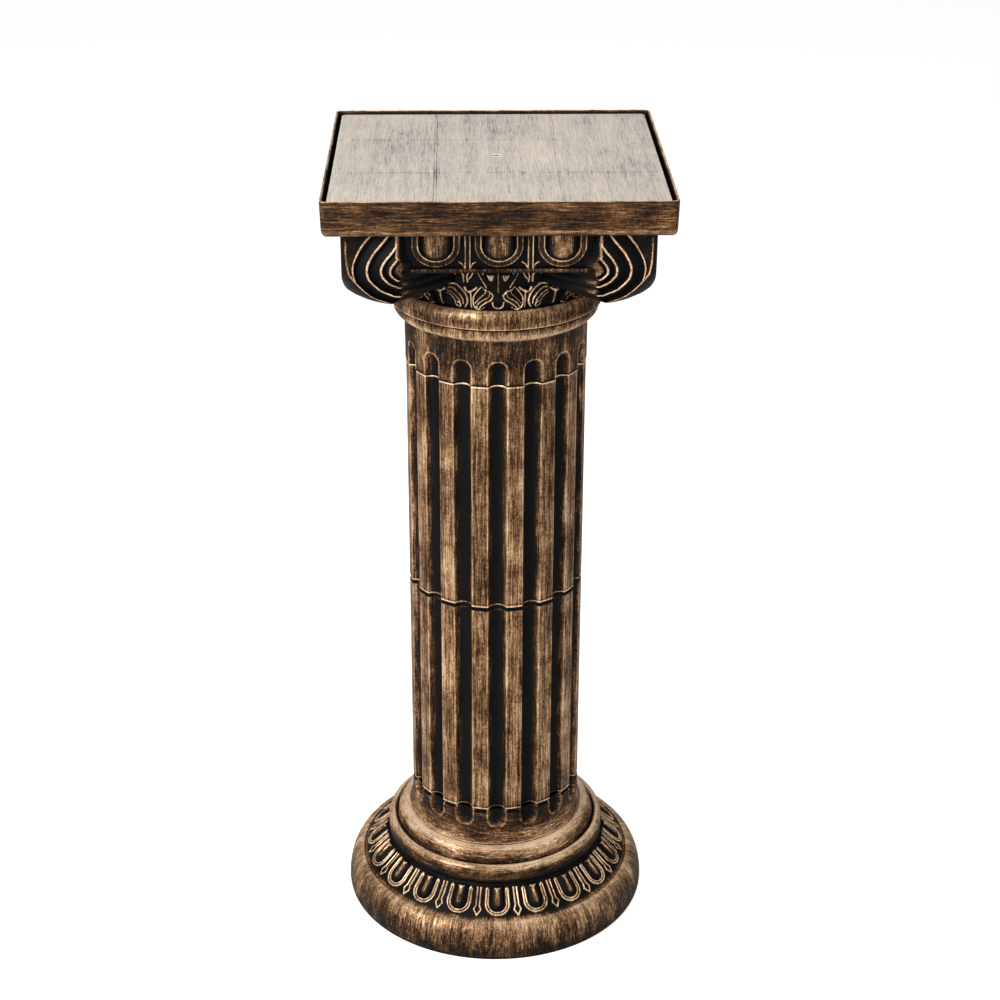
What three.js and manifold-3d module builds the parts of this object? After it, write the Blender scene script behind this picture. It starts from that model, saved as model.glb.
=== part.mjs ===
// Pedestal column stand: a fluted column on a round moulded base, with a scrolled capital under
// a square tray that is closed by a drop-in panel. Millimetres, +Z up, the floor at z = 0 and the
// column's axis on the Z axis. The front faces -Y.
import * as THREE from 'three';
import { mergeVertices } from 'three/addons/utils/BufferGeometryUtils.js';
import Module from 'manifold-3d';

const wasm = await Module();
wasm.setup();

// ---- Driving dimensions, in millimetres ----

const segmentLength = 233; // each shaft moulding, without the spigot that enters the one above
const trayHeight = 32.3;

// Fits
const seatGap = 0.3; // between two faces that rest on each other
const spigotClearance = 0.4; // between a spigot and its socket, on the radius
const rodClearance = 0.5; // between the tie rod and the holes that it passes
const threadClearance = 0.3; // between the tie rod and its nuts and washers
const panelClearance = 2.7; // the dark line around the drop-in panel
const pegClearance = 0.3;

// Shaft
const shaftRadius = 87; // over the lands between the flutes
const shellWall = 2.6;
const fluteCount = 16;
const fluteWidth = 17.5;
const fluteDepth = 6.5;
const spigotLength = 22;
const spigotCollar = 9; // height of the ring that carries a spigot
const rebateDepth = 1.6; // shadow line under each seam
const shaftRebate = 4;
const capitalRebate = 1.5;

// Base: how far each form reaches past the shaft's radius, and the heights from the floor up
const footReach = 67.5; // flat ring on the floor
const torusReach = 69.5;
const torusTopReach = 54.4;
const eggBandReach = 25.2; // inner edge of the sloping band of eggs
const beadReach = 26.2; // the upright bead above the eggs
const quarterReach = 17; // the quarter round between the bead and the collar
const collarReach = 3.8; // foot of the collar that the flutes end in
const torusMiddle = 5.8; // height of the widest place
const torusTop = 37.6;
const eggBandRise = 24.2; // from the torus up to the band's inner edge
const eggBandStep = 1.6; // how far the band lies below the torus
const beadHeight = 21;
const beadTuck = 4; // height of the bead's drawn-in foot
const beadRound = 7;
const grooveDepth = 4.8; // groove between the bead and the quarter round
const quarterHeight = 18;
const collarHeight = 40; // from the quarter round up to the first seam
const collarFillet = 1.4; // upright strip at the collar's foot
const collarFlare = 14; // height of the sweep from that strip to the shaft
const collarFlute = 20.2; // how far the flutes run down into the collar
const baseEggCount = 20;
const baseEggLength = 30;
const baseEggWidth = 24;
const baseEggRise = 3.6;
const baseEggBevel = 5; // how far the egg's crown is drawn in from its outline
const baseWall = 3.2;
const footWall = 4.8;
const footWallHeight = 12.2;
const webThickness = 3.5; // plates that the tie rod clamps
const hubRadius = 13;
const hubHeight = 9;
const baseRibCount = 8;
const baseRibWidth = 2.4;

// Capital: reaches past the shaft's radius, and the heights from its lower edge up
const neckReach = 0.6;
const flareReach = 8.8; // the quick flare from the neck out to its crest
const crestReach = 11.3;
const neckGrooveReach = 10.3;
const neckRingFootReach = 14.7;
const neckRingReach = 15.5;
const neckRingTopReach = 10;
const drumReach = 7.5;
const drumTopReach = 12.5;
const neckFlute = 23.4; // how far the flutes run up into the neck
const neckHeight = 43.7;
const flareHeight = 4.7;
const crestHeight = 9.7; // above the flare's foot
const neckRingRise = 14.6; // from the flare's foot up to the groove under the ring
const neckRingHeight = 18.7;
const neckRingFoot = 1.4; // height of the slope from the groove out to the ring
const neckRingMiddle = 8.7; // widest place, above the groove
const drumHeight = 49;
const drumFlare = 27; // height of the drum's flare, down from the ledge
const capitalWall = 3.2;

// Capital's block of eggs and darts, with depths below the tray
const blockSetback = 3.8; // from a volute's face in to the block's, at the tray
const blockDraft = 6; // how far the face leans in down to its lower edge
const blockHalfWidth = 90;
const blockDepth = 35.7;
const blockCorner = 11;
const ledgeHeight = 4;
const ledgeHalfWidth = 83;
const ledgeRise = 3; // how far the ledge stands out from the foot of the face
const eggPitch = 55.6;
const eggWidth = 27;
const eggBottomDepth = 28.6;
const eggRise = 8;
const frameInnerWidth = 30.5;
const frameOuterWidth = 43.4;
const frameBottomDepth = 34.2;
const frameRise = 3.4;
const dartWidth = 6;
const dartRise = 2.2;

// Volutes, one on each corner
const voluteReach = 138.8; // from the axis to both faces of a corner
const voluteStart = 56; // where a volute starts on its diagonal, inside the drum
const voluteHalfWidth = 34.9; // across the diagonal
const voluteDepth = 69.7; // from the tray down to the lowest point
const eyeSetback = 54.8; // from a corner, along a face, in to the volute's eye
const eyeDepth = 36.7;
const lipWidth = 1.8; // the raised edge of each turn
const channelDepth = 3.6;
const dropShare = 0.16; // share of a channel's width in which it falls from the outer lip
const voluteLean = 9; // how far a face draws back at its lowest point
const voluteLeanDepth = 43; // depth below the tray where it starts
const turnScales = [1, 0.716, 0.44, 0.262]; // the lips are one curve, drawn smaller about the eye
const lipReach = 45;
// The curve of the lips, from the tray down: [along the face, up] from the eye
const lipPoints = [[8, 62], [22, 41.5], [38, 21], [lipReach, 2], [38, -18.5], [22, -30.5], [4, -33.5]];
// The prow's edge is cut back more and more below the eye: [setback on the diagonal, up]
const prowPoints = [[36.5, 0], [31, 3.1], [26, 5.5], [19.8, 9.6], [13.4, 16.1], [7.4, 24.1],
  [4.2, 30.1], [2.8, 40.1]];
const prowTopSetback = 1.6;
// Half-round rolls down each flank, past the half width: [up from the eye, bulge]
const rollPoints = [[13, 0], [7, 2.6], [-4, 2.6], [-9.6, 0], [-13.5, 1.3], [-17, 0.9],
  [-19.2, -1.7], [-22.5, -0.5], [-27.5, -3.8]];
const flankTaper = 11; // how much a flank draws in at its lowest point
const flankTaperHeight = 15;

// Tray and panel
const traySide = 311;
const trayDraft = 1;
const trayWall = 2.2;
const trayFloor = 3;
const trayCorner = 6;
const trayEdge = 5; // rounding of the lower edge
const panelThickness = 2.8;
const panelDrop = 2.8; // below the tray's rim
const panelCorner = 4;
const panelRibPlace = 56; // from the axis, on both sides and both ways
const panelRibWidth = 2.4;

// Tie rod and its fasteners
const rodRadius = 4;
const rodOverhang = 4; // past each nut
const nutWidth = 13; // across the flats
const nutHeight = 6.5;
const washerRadius = 15;
const washerHeight = 1.6;
const pegPlace = 76;
const pegRadius = 5;
const pegHeight = 6;

// ---- Sizes that follow ----

const footRadius = shaftRadius + footReach;
const torusRadius = shaftRadius + torusReach;
const torusTopRadius = shaftRadius + torusTopReach;
const eggBandRadius = shaftRadius + eggBandReach;
const quarterRadius = shaftRadius + quarterReach;
const collarRadius = shaftRadius + collarReach;
const blockReach = voluteReach - blockSetback;
const eyeReach = voluteReach - eyeSetback;

const eggBandTop = torusTop + eggBandRise;
const beadTop = eggBandTop + beadHeight;
const quarterBottom = beadTop - grooveDepth;
const quarterTop = quarterBottom + quarterHeight;
const seamBase = quarterTop + collarHeight;
const seamShaft = seamBase + segmentLength;
const seamCapital = seamShaft + segmentLength;
const flareBottom = seamCapital + neckHeight;
const neckRingBottom = flareBottom + neckRingRise;
const neckRingTop = neckRingBottom + neckRingHeight;
const ledgeBottom = neckRingTop + drumHeight;
const blockBottom = ledgeBottom + ledgeHeight;
const trayBottom = blockBottom + blockDepth;
const capitalTop = trayBottom - seatGap;
const standTop = trayBottom + trayHeight;

const chordDistance = Math.sqrt(shaftRadius ** 2 - (fluteWidth / 2) ** 2);
const fluteArcRadius = ((fluteWidth / 2) ** 2 + fluteDepth ** 2) / (2 * fluteDepth);
const fluteAxisRadius = chordDistance - fluteDepth + fluteArcRadius;
const socketRadius = fluteAxisRadius - fluteArcRadius - shellWall;
const spigotRadius = socketRadius - spigotClearance;
const boreRadius = spigotRadius - shellWall;

const roundSegments = 40;
const boreSegments = 32;
const smallSegments = 16;
const overshoot = 2; // how far a cutter passes the face that it cuts
const bite = 1; // how far a rib, peg or hub reaches into the wall that carries it

// ---- Geometry helpers ----

function toSolid(geometry) {
  geometry.deleteAttribute('normal');
  geometry.deleteAttribute('uv');
  const merged = mergeVertices(geometry, 1e-4);
  return new wasm.Manifold(new wasm.Mesh({
    numProp: 3,
    vertProperties: Float32Array.from(merged.attributes.position.array),
    triVerts: Uint32Array.from(merged.index.array),
  }));
}

function toGeometry(solid) {
  const mesh = solid.getMesh();
  const geometry = new THREE.BufferGeometry();
  geometry.setAttribute('position', new THREE.BufferAttribute(mesh.vertProperties, 3));
  geometry.setIndex(new THREE.BufferAttribute(mesh.triVerts, 1));
  geometry.computeVertexNormals();
  return geometry;
}

function joined(solids) {
  return solids.reduce((whole, solid) => whole.add(solid));
}

function moved(solid, matrix) {
  return solid.transform(matrix.elements);
}

function turnedAbout(solid, angle) {
  return moved(solid, new THREE.Matrix4().makeRotationZ(angle));
}

// A closed outline of [radius, height] pairs, anticlockwise in that plane, turned about the Z axis
function turned(outline, segments = roundSegments) {
  const loop = [...outline, outline[0]].map(([radius, height]) => new THREE.Vector2(radius, height));
  const geometry = new THREE.LatheGeometry(loop, segments);
  geometry.rotateX(Math.PI / 2);
  return toSolid(geometry);
}

// A plan outline of Vector2 raised from one height to another
function raised(outline, bottom, top) {
  const shape = new THREE.Shape(outline);
  const geometry = new THREE.ExtrudeGeometry(shape, { depth: top - bottom, bevelEnabled: false });
  geometry.translate(0, 0, bottom);
  return toSolid(geometry);
}

function cylinder(radius, bottom, top, segments = boreSegments) {
  const geometry = new THREE.CylinderGeometry(radius, radius, top - bottom, segments);
  geometry.rotateX(Math.PI / 2);
  geometry.translate(0, 0, (bottom + top) / 2);
  return toSolid(geometry);
}

function block(halfX, halfY, bottom, top) {
  const geometry = new THREE.BoxGeometry(2 * halfX, 2 * halfY, top - bottom);
  geometry.translate(0, 0, (bottom + top) / 2);
  return toSolid(geometry);
}

function ring(innerRadius, outerRadius, bottom, top, segments = boreSegments) {
  return cylinder(outerRadius, bottom, top, segments)
    .subtract(cylinder(innerRadius, bottom - overshoot, top + overshoot, segments));
}

// Points on an ellipse's arc, angles in turns of the full circle from the first axis
function arc(centre, radii, from, to, steps) {
  return Array.from({ length: steps + 1 }, (_, i) => {
    const angle = 2 * Math.PI * (from + ((to - from) * i) / steps);
    return [centre[0] + radii[0] * Math.cos(angle), centre[1] + radii[1] * Math.sin(angle)];
  });
}

function roundedSquare(halfSide, radius, steps = 3) {
  const middle = halfSide - radius;
  const points = [];
  [[1, 1], [-1, 1], [-1, -1], [1, -1]].forEach(([signX, signY], i) => {
    const corner = arc([signX * middle, signY * middle], [radius, radius], i / 4, (i + 1) / 4, steps);
    points.push(...corner.map(([x, y]) => new THREE.Vector2(x, y)));
  });
  return points;
}

// ---- Flutes ----

// Plan outline of a fluted wall: the lands lie on landRadius and each flute is an arc
function flutedOutline(landRadius, arcRadius) {
  const flutePoints = 5;
  const landPoints = 2;
  const cosine = (landRadius ** 2 - fluteAxisRadius ** 2 - arcRadius ** 2)
    / (2 * fluteAxisRadius * arcRadius);
  const opening = Math.acos(cosine);
  const reach = fluteAxisRadius + arcRadius * Math.cos(opening);
  const halfAngle = Math.atan2(arcRadius * Math.sin(opening), reach);
  const pitch = (2 * Math.PI) / fluteCount;
  const points = [];
  for (let i = 0; i < fluteCount; i += 1) {
    const middle = i * pitch - Math.PI / 2;
    for (let k = 0; k <= flutePoints; k += 1) {
      const turn = 2 * Math.PI - opening - (2 * (Math.PI - opening) * k) / flutePoints;
      const out = fluteAxisRadius + arcRadius * Math.cos(turn);
      const aside = arcRadius * Math.sin(turn);
      points.push(new THREE.Vector2(out, aside).rotateAround(new THREE.Vector2(), middle));
    }
    for (let k = 1; k < landPoints; k += 1) {
      const angle = middle + halfAngle + ((pitch - 2 * halfAngle) * k) / landPoints;
      points.push(new THREE.Vector2(landRadius, 0).rotateAround(new THREE.Vector2(), angle));
    }
  }
  return points;
}

// Cuts one flute per pitch from an open end to a half-round end, above or below it
function fluteCutters(openHeight, roundHeight) {
  const towards = Math.sign(roundHeight - openHeight);
  const centre = roundHeight - (towards * fluteWidth) / 2;
  const outline = [
    [0, openHeight],
    [fluteArcRadius, openHeight],
    ...arc([0, centre], [fluteArcRadius, towards * fluteArcRadius], 0, 0.25, 2),
  ];
  const loop = towards > 0 ? outline : outline.reverse();
  const geometry = new THREE.LatheGeometry(loop.map(([r, h]) => new THREE.Vector2(r, h)), 10);
  geometry.rotateX(Math.PI / 2);
  geometry.translate(0, -fluteAxisRadius, 0);
  const cutter = toSolid(geometry);
  const pitch = (2 * Math.PI) / fluteCount;
  return joined(Array.from({ length: fluteCount }, (_, i) => turnedAbout(cutter, i * pitch)));
}

function rebate(seam, height) {
  return ring(shaftRadius - rebateDepth, shaftRadius + overshoot, seam - height, seam + overshoot);
}

// ---- Mouldings ----

// Plan outline of one egg on the base, square at its upper end and round at its lower end
function tongue(inset) {
  const half = baseEggWidth / 2 - inset;
  const end = baseEggLength / 2 - inset;
  const round = arc([0, half - end], [half, half], 0.5, 1, 4);
  return [[half, end], [-half, end], ...round].map(([x, y]) => new THREE.Vector2(x, y));
}

function base() {
  const bandOuter = [torusTopRadius - eggBandStep, torusTop - eggBandStep];
  const beadRadius = shaftRadius + beadReach;
  const spigotTop = seamBase + spigotLength;
  const webTop = quarterBottom;
  const webBottom = webTop - webThickness;
  const skirtRadius = quarterRadius - baseWall;
  const outside = [
    ...arc([footRadius, torusMiddle], [torusRadius - footRadius, torusMiddle], 0.75, 1, 2),
    ...arc([torusTopRadius, torusMiddle], [torusReach - torusTopReach, torusTop - torusMiddle],
      0, 0.25, 5).slice(1),
    bandOuter,
    [eggBandRadius, eggBandTop],
    [beadRadius, eggBandTop + beadTuck],
    ...arc([beadRadius - beadRound, beadTop - beadRound], [beadRound, beadRound], 0, 0.25, 2),
    ...arc([collarRadius, quarterBottom], [quarterRadius - collarRadius, quarterHeight], 0, 0.25, 3),
    ...arc([collarRadius, quarterTop + collarFillet + collarFlare], [collarReach, collarFlare],
      0.75, 0.5, 3),
    [shaftRadius, seamBase],
    [spigotRadius, seamBase],
    [spigotRadius, spigotTop],
  ];
  const inside = [
    [boreRadius, spigotTop],
    [boreRadius, webTop],
    [rodRadius + rodClearance, webTop],
    [rodRadius + rodClearance, webBottom - hubHeight],
    [hubRadius, webBottom - hubHeight],
    [hubRadius, webBottom],
    [skirtRadius, webBottom],
    [eggBandRadius - baseWall, eggBandTop - baseWall],
    [bandOuter[0] - baseWall, bandOuter[1] - footWall],
    [torusRadius - footWall, footWallHeight],
    [torusRadius - footWall, 0],
  ];
  let body = turned([...outside, ...inside]);
  body = body.subtract(rebate(seamBase, shaftRebate));
  body = body.subtract(fluteCutters(seamBase + overshoot, seamBase - collarFlute));

  const slope = Math.atan2(eggBandTop - bandOuter[1], bandOuter[0] - eggBandRadius);
  const onBand = new THREE.Matrix4().makeRotationX(slope);
  onBand.setPosition(0, -(eggBandRadius + bandOuter[0]) / 2, (eggBandTop + bandOuter[1]) / 2);
  const egg = moved(lofted(tongue(0), -overshoot, tongue(baseEggBevel), baseEggRise), onBand);
  const eggs = Array.from({ length: baseEggCount }, (_, i) => (
    turnedAbout(egg, (2 * Math.PI * i) / baseEggCount)));

  const ribInner = hubRadius - bite;
  const ribOuter = skirtRadius + bite;
  const ribGeometry = new THREE.BoxGeometry(ribOuter - ribInner, baseRibWidth, hubHeight + bite);
  ribGeometry.translate((ribInner + ribOuter) / 2, 0, webBottom + (bite - hubHeight) / 2);
  const rib = toSolid(ribGeometry);
  const ribs = Array.from({ length: baseRibCount }, (_, i) => (
    turnedAbout(rib, (2 * Math.PI * (i + 0.5)) / baseRibCount)));
  return joined([body, ...eggs, ...ribs]);
}

function shaftSegment(bottom, top, rebateHeight) {
  const outer = flutedOutline(shaftRadius, fluteArcRadius);
  const inner = flutedOutline(shaftRadius - shellWall, fluteArcRadius + shellWall);
  const spigotTop = top + spigotLength;
  const start = bottom + seatGap;
  return raised(outer, start, top)
    .subtract(rebate(top, rebateHeight))
    .add(cylinder(spigotRadius, top - overshoot, spigotTop))
    .subtract(raised(inner, start - overshoot, top - spigotCollar))
    .subtract(cylinder(boreRadius, top - spigotCollar - overshoot, spigotTop + overshoot));
}

// ---- Capital ----

function capitalColumn() {
  const ringMiddle = neckRingBottom + neckRingMiddle;
  const columnTop = blockBottom + ledgeHeight;
  const outline = [
    [socketRadius, seamCapital + seatGap],
    [shaftRadius + neckReach, seamCapital + seatGap],
    [shaftRadius + neckReach, flareBottom],
    [shaftRadius + flareReach, flareBottom + flareHeight],
    [shaftRadius + crestReach, flareBottom + crestHeight],
    [shaftRadius + neckGrooveReach, neckRingBottom],
    [shaftRadius + neckRingFootReach, neckRingBottom + neckRingFoot],
    ...arc([shaftRadius + neckRingTopReach, ringMiddle], [neckRingReach - neckRingTopReach,
      neckRingTop - ringMiddle], 0, 0.25, 3),
    [shaftRadius + drumReach, neckRingTop],
    [shaftRadius + drumReach, ledgeBottom - drumFlare],
    [shaftRadius + drumTopReach, ledgeBottom],
    [shaftRadius + drumTopReach, columnTop],
    [socketRadius, columnTop],
  ];
  return turned(outline, boreSegments);
}

// The block's plan cross is two bars, each drafted on its two carved faces
function blockBar(reach, halfWidth, bottom, top, draft, corner) {
  const side = new THREE.Shape([
    new THREE.Vector2(-reach + draft, bottom),
    new THREE.Vector2(reach - draft, bottom),
    new THREE.Vector2(reach, top),
    new THREE.Vector2(-reach, top),
  ]);
  const geometry = new THREE.ExtrudeGeometry(side, { depth: 2 * halfWidth, bevelEnabled: false });
  geometry.translate(0, 0, -halfWidth);
  geometry.applyMatrix4(new THREE.Matrix4().set(0, 0, 1, 0, 1, 0, 0, 0, 0, 1, 0, 0, 0, 0, 0, 1));
  const bar = toSolid(geometry);
  if (!corner) {
    return bar;
  }
  const plan = [];
  [[1, 1], [-1, 1], [-1, -1], [1, -1]].forEach(([signX, signY], i) => {
    const centre = [signX * (halfWidth - corner), signY * (reach - corner)];
    plan.push(...arc(centre, [corner, corner], i / 4, (i + 1) / 4, 3)
      .map(([x, y]) => new THREE.Vector2(x, y)));
  });
  return bar.intersect(raised(plan, bottom - overshoot, top + overshoot));
}

// One face's eggs, U frames and darts, built for the face at -Y
function faceCarving() {
  const slope = Math.atan2(blockDraft, blockDepth);
  const pieces = [];
  for (let i = -1; i <= 1; i += 1) {
    const eggHeight = eggBottomDepth - eggWidth / 2;
    const profile = [
      ...arc([0, -eggHeight], [eggWidth / 2, eggWidth / 2], 0.75, 1, 3),
      [eggWidth / 2, 0],
      [0, 0],
    ];
    const egg = new THREE.LatheGeometry(profile.map(([r, h]) => new THREE.Vector2(r, h)), 8);
    egg.rotateX(Math.PI / 2);
    egg.scale(1, eggRise / (eggWidth / 2), 1);
    egg.translate(i * eggPitch, 0, 0);
    pieces.push(toSolid(egg));

    const frame = new THREE.Shape();
    const outer = frameOuterWidth / 2;
    const inner = frameInnerWidth / 2;
    const bend = frameBottomDepth - outer;
    frame.moveTo(outer, 0);
    frame.lineTo(inner, 0);
    frame.lineTo(inner, -bend);
    frame.absarc(0, -bend, inner, 0, -Math.PI, true);
    frame.lineTo(-inner, 0);
    frame.lineTo(-outer, 0);
    frame.lineTo(-outer, -bend);
    frame.absarc(0, -bend, outer, -Math.PI, 0, false);
    frame.closePath();
    const depth = frameRise + overshoot;
    const band = new THREE.ExtrudeGeometry(frame, { depth, bevelEnabled: false, curveSegments: 5 });
    band.rotateX(Math.PI / 2);
    band.translate(i * eggPitch, overshoot, 0);
    pieces.push(toSolid(band));
  }
  for (const place of [-0.5, 0.5]) {
    const dart = new THREE.BoxGeometry(dartWidth, dartRise + overshoot, blockDepth);
    dart.translate(place * eggPitch, (overshoot - dartRise) / 2, -blockDepth / 2);
    pieces.push(toSolid(dart));
  }
  const lean = new THREE.Matrix4().makeRotationX(slope);
  lean.setPosition(0, -blockReach, capitalTop);
  const above = block(2 * blockReach, 2 * blockReach, capitalTop, capitalTop + blockDepth);
  return moved(joined(pieces), lean).subtract(above);
}

function capitalBlock() {
  const ledgeReach = blockReach - blockDraft + ledgeRise;
  const carving = faceCarving();
  const parts = [];
  for (const turn of [0, 1]) {
    const bars = blockBar(blockReach, blockHalfWidth, blockBottom, capitalTop, blockDraft, blockCorner)
      .add(block(ledgeHalfWidth, ledgeReach, ledgeBottom, blockBottom + overshoot));
    parts.push(turnedAbout(bars, (turn * Math.PI) / 2));
  }
  for (let side = 0; side < 4; side += 1) {
    parts.push(turnedAbout(carving, (side * Math.PI) / 2));
  }
  return joined(parts);
}

// Heights and places on a volute's face are measured from its eye
const eyeHeight = trayBottom - eyeDepth;
const voluteBottom = trayBottom - voluteDepth;
const lipCurve = new THREE.SplineCurve(lipPoints.map(([along, up]) => new THREE.Vector2(along, up)));

// Distance of a volute's face from the axis: upright, then drawn back below the eye
function faceReach(height) {
  const start = trayBottom - voluteLeanDepth;
  const below = Math.max(0, start - height) / (voluteDepth - voluteLeanDepth);
  return voluteReach - voluteLean * below ** 2;
}

// Upright outline of a face's reach, from the lowest point up to the tray
function reachOutline(inset) {
  const steps = 3;
  const curve = Array.from({ length: steps + 1 }, (_, i) => {
    const height = voluteBottom + ((voluteDepth - voluteLeanDepth) * i) / steps;
    return [faceReach(height) - inset, height + inset];
  });
  return [[0, voluteBottom + inset], ...curve, [voluteReach - inset, trayBottom + overshoot],
    [0, trayBottom + overshoot]];
}

// Upright outline of the prow along the diagonal
function prowOutline(inset) {
  const bottom = voluteBottom + inset;
  const corner = voluteReach * Math.SQRT2 - inset;
  return [[0, bottom], ...prowPoints.map(([setback, up]) => [corner - setback, bottom + up]),
    [corner - prowTopSetback, trayBottom + overshoot], [0, trayBottom + overshoot]];
}

// Section across the diagonal: rolls on the outer skin, plain flanks on the hollow inside it
function voluteSection(inset) {
  const width = voluteHalfWidth - inset;
  const rolls = rollPoints.map(([up, bulge]) => [width + bulge, eyeHeight + up]);
  const taper = [width - flankTaper / 3, voluteBottom + flankTaperHeight + inset];
  const flank = [
    [width, trayBottom + overshoot],
    ...(inset === 0 ? rolls : [taper]),
    [width - flankTaper, voluteBottom + inset],
  ];
  const mirrored = flank.map(([aside, height]) => [-aside, height]).reverse();
  return [...flank, ...mirrored].map(([aside, height]) => new THREE.Vector2(aside, height));
}

const acrossDiagonal = new THREE.Matrix4().set(0, -1, 0, 0, -1, 0, 0, 0, 0, 0, 1, 0, 0, 0, 0, 1);

// An upright outline of [out, height] pairs, made thick to both sides of the Y axis's plane
function uprightPlate(outline, halfWidth) {
  const shape = new THREE.Shape(outline.map(([out, height]) => new THREE.Vector2(out, height)));
  const geometry = new THREE.ExtrudeGeometry(shape, { depth: 2 * halfWidth, bevelEnabled: false });
  geometry.rotateX(Math.PI / 2);
  geometry.translate(0, halfWidth, 0);
  return toSolid(geometry);
}

// The slab on the +X -Y diagonal, kept inside both faces and the cut-back prow
function voluteSlab(inset) {
  const section = new THREE.Shape(voluteSection(inset));
  const depth = voluteReach * Math.SQRT2 + overshoot - voluteStart;
  const slabGeometry = new THREE.ExtrudeGeometry(section, { depth, bevelEnabled: false });
  // The section's first axis runs across the diagonal, its second up and its depth outwards
  slabGeometry.applyMatrix4(new THREE.Matrix4().set(
    0, 0, 1, voluteStart,
    1, 0, 0, 0,
    0, 1, 0, 0,
    0, 0, 0, 1,
  ));
  const prow = uprightPlate(prowOutline(inset), 2 * voluteHalfWidth);
  const slab = turnedAbout(toSolid(slabGeometry).intersect(prow), -Math.PI / 4);
  const face = uprightPlate(reachOutline(inset), 2 * voluteReach);
  return slab.intersect(face).intersect(moved(face, acrossDiagonal));
}

// The channel between two turns of the volute, on the face at -Y: a steep drop just inside the
// outer lip, and a long rise to the next one
function channelCutter(outerScale, innerScale) {
  const steps = 8;
  const sections = [];
  for (let i = 0; i <= steps; i += 1) {
    const { x: along, y: up } = lipCurve.getPoint(i / steps);
    const place = (scale, depth) => {
      const height = eyeHeight + up * scale;
      return [eyeReach + along * scale, depth - faceReach(height), height];
    };
    const outer = outerScale - lipWidth / 2 / lipReach;
    const inner = innerScale + lipWidth / 2 / lipReach;
    const deep = outer - dropShare * (outerScale - innerScale);
    sections.push([
      place(outer, -overshoot),
      place(outer, 0),
      place(deep, channelDepth),
      place(inner, 0),
      place(inner, -overshoot),
    ]);
  }
  const corners = sections[0].length;
  const index = [];
  for (let i = 0; i < steps; i += 1) {
    for (let k = 0; k < corners; k += 1) {
      const here = i * corners + k;
      const next = i * corners + ((k + 1) % corners);
      index.push(here, here + corners, next, next, here + corners, next + corners);
    }
  }
  const last = steps * corners;
  for (let k = 1; k < corners - 1; k += 1) {
    index.push(0, k, k + 1, last, last + k + 1, last + k);
  }
  const geometry = new THREE.BufferGeometry();
  const positions = new Float32Array(sections.flat(2));
  geometry.setAttribute('position', new THREE.BufferAttribute(positions, 3));
  geometry.setIndex(index);
  return toSolid(geometry);
}

function volute() {
  const cutters = [];
  turnScales.slice(1).forEach((inner, i) => cutters.push(channelCutter(turnScales[i], inner)));
  const channels = joined(cutters);
  return voluteSlab(0).subtract(channels).subtract(moved(channels, acrossDiagonal));
}

function capital() {
  const deckBottom = capitalTop - webThickness;
  const volutes = [];
  const hollows = [];
  const volutePiece = volute();
  const voluteHollow = voluteSlab(channelDepth + shellWall);
  for (let corner = 0; corner < 4; corner += 1) {
    volutes.push(turnedAbout(volutePiece, (corner * Math.PI) / 2));
    hollows.push(turnedAbout(voluteHollow, (corner * Math.PI) / 2));
  }
  for (const turn of [0, 1]) {
    const hollow = blockBar(blockReach - 2 * capitalWall, blockHalfWidth - capitalWall,
      blockBottom + capitalWall, trayBottom, blockDraft, 0);
    hollows.push(turnedAbout(hollow, (turn * Math.PI) / 2));
  }
  hollows.push(cylinder(socketRadius, seamCapital - overshoot, trayBottom));
  const aboveDeck = block(2 * voluteReach, 2 * voluteReach, deckBottom, trayBottom + 2 * overshoot);
  const aboveTop = block(2 * voluteReach, 2 * voluteReach, capitalTop, trayBottom + 2 * overshoot);
  const hollow = joined(hollows).subtract(aboveDeck);
  const pegs = [[1, 1], [-1, 1], [-1, -1], [1, -1]].map(([signX, signY]) => (
    cylinder(pegRadius, capitalTop - bite, capitalTop + pegHeight, smallSegments)
      .translate([signX * pegPlace, signY * pegPlace, 0])));
  return joined([capitalColumn(), capitalBlock(), ...volutes])
    .subtract(aboveTop)
    .subtract(hollow)
    .subtract(fluteCutters(seamCapital - overshoot, seamCapital + neckFlute))
    .add(joined(pegs))
    .add(cylinder(hubRadius, deckBottom - hubHeight, deckBottom + bite, smallSegments))
    .subtract(cylinder(rodRadius + rodClearance, deckBottom - 2 * hubHeight, trayBottom, smallSegments));
}

// ---- Tray and panel ----

function roundedPlate(halfSide, corner, edge, bottom, top) {
  const steps = 2;
  const layers = arc([0, edge], [edge, edge], 0.75, 1, steps).map(([out, up]) => [edge - out, up]);
  const solids = layers.slice(0, -1).map(([inset, up], i) => {
    const [nextInset, nextUp] = layers[i + 1];
    const lower = roundedSquare(halfSide - inset, corner);
    const upper = roundedSquare(halfSide - nextInset, corner);
    return lofted(lower, bottom + up, upper, bottom + nextUp);
  });
  const full = roundedSquare(halfSide, corner);
  const rim = roundedSquare(halfSide + trayDraft, corner);
  return joined([...solids, lofted(full, bottom + edge, rim, top)]);
}

// A closed solid between two plan outlines with the same number of points
function lofted(lower, bottom, upper, top) {
  const count = lower.length;
  const positions = [];
  lower.forEach(({ x, y }) => positions.push(x, y, bottom));
  upper.forEach(({ x, y }) => positions.push(x, y, top));
  const index = [];
  for (let i = 0; i < count; i += 1) {
    const next = (i + 1) % count;
    index.push(i, next, count + i, next, count + next, count + i);
  }
  THREE.ShapeUtils.triangulateShape(lower, []).forEach(([a, b, c]) => {
    index.push(a, c, b, count + a, count + b, count + c);
  });
  const geometry = new THREE.BufferGeometry();
  geometry.setAttribute('position', new THREE.BufferAttribute(new Float32Array(positions), 3));
  geometry.setIndex(index);
  return toSolid(geometry);
}

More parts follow.
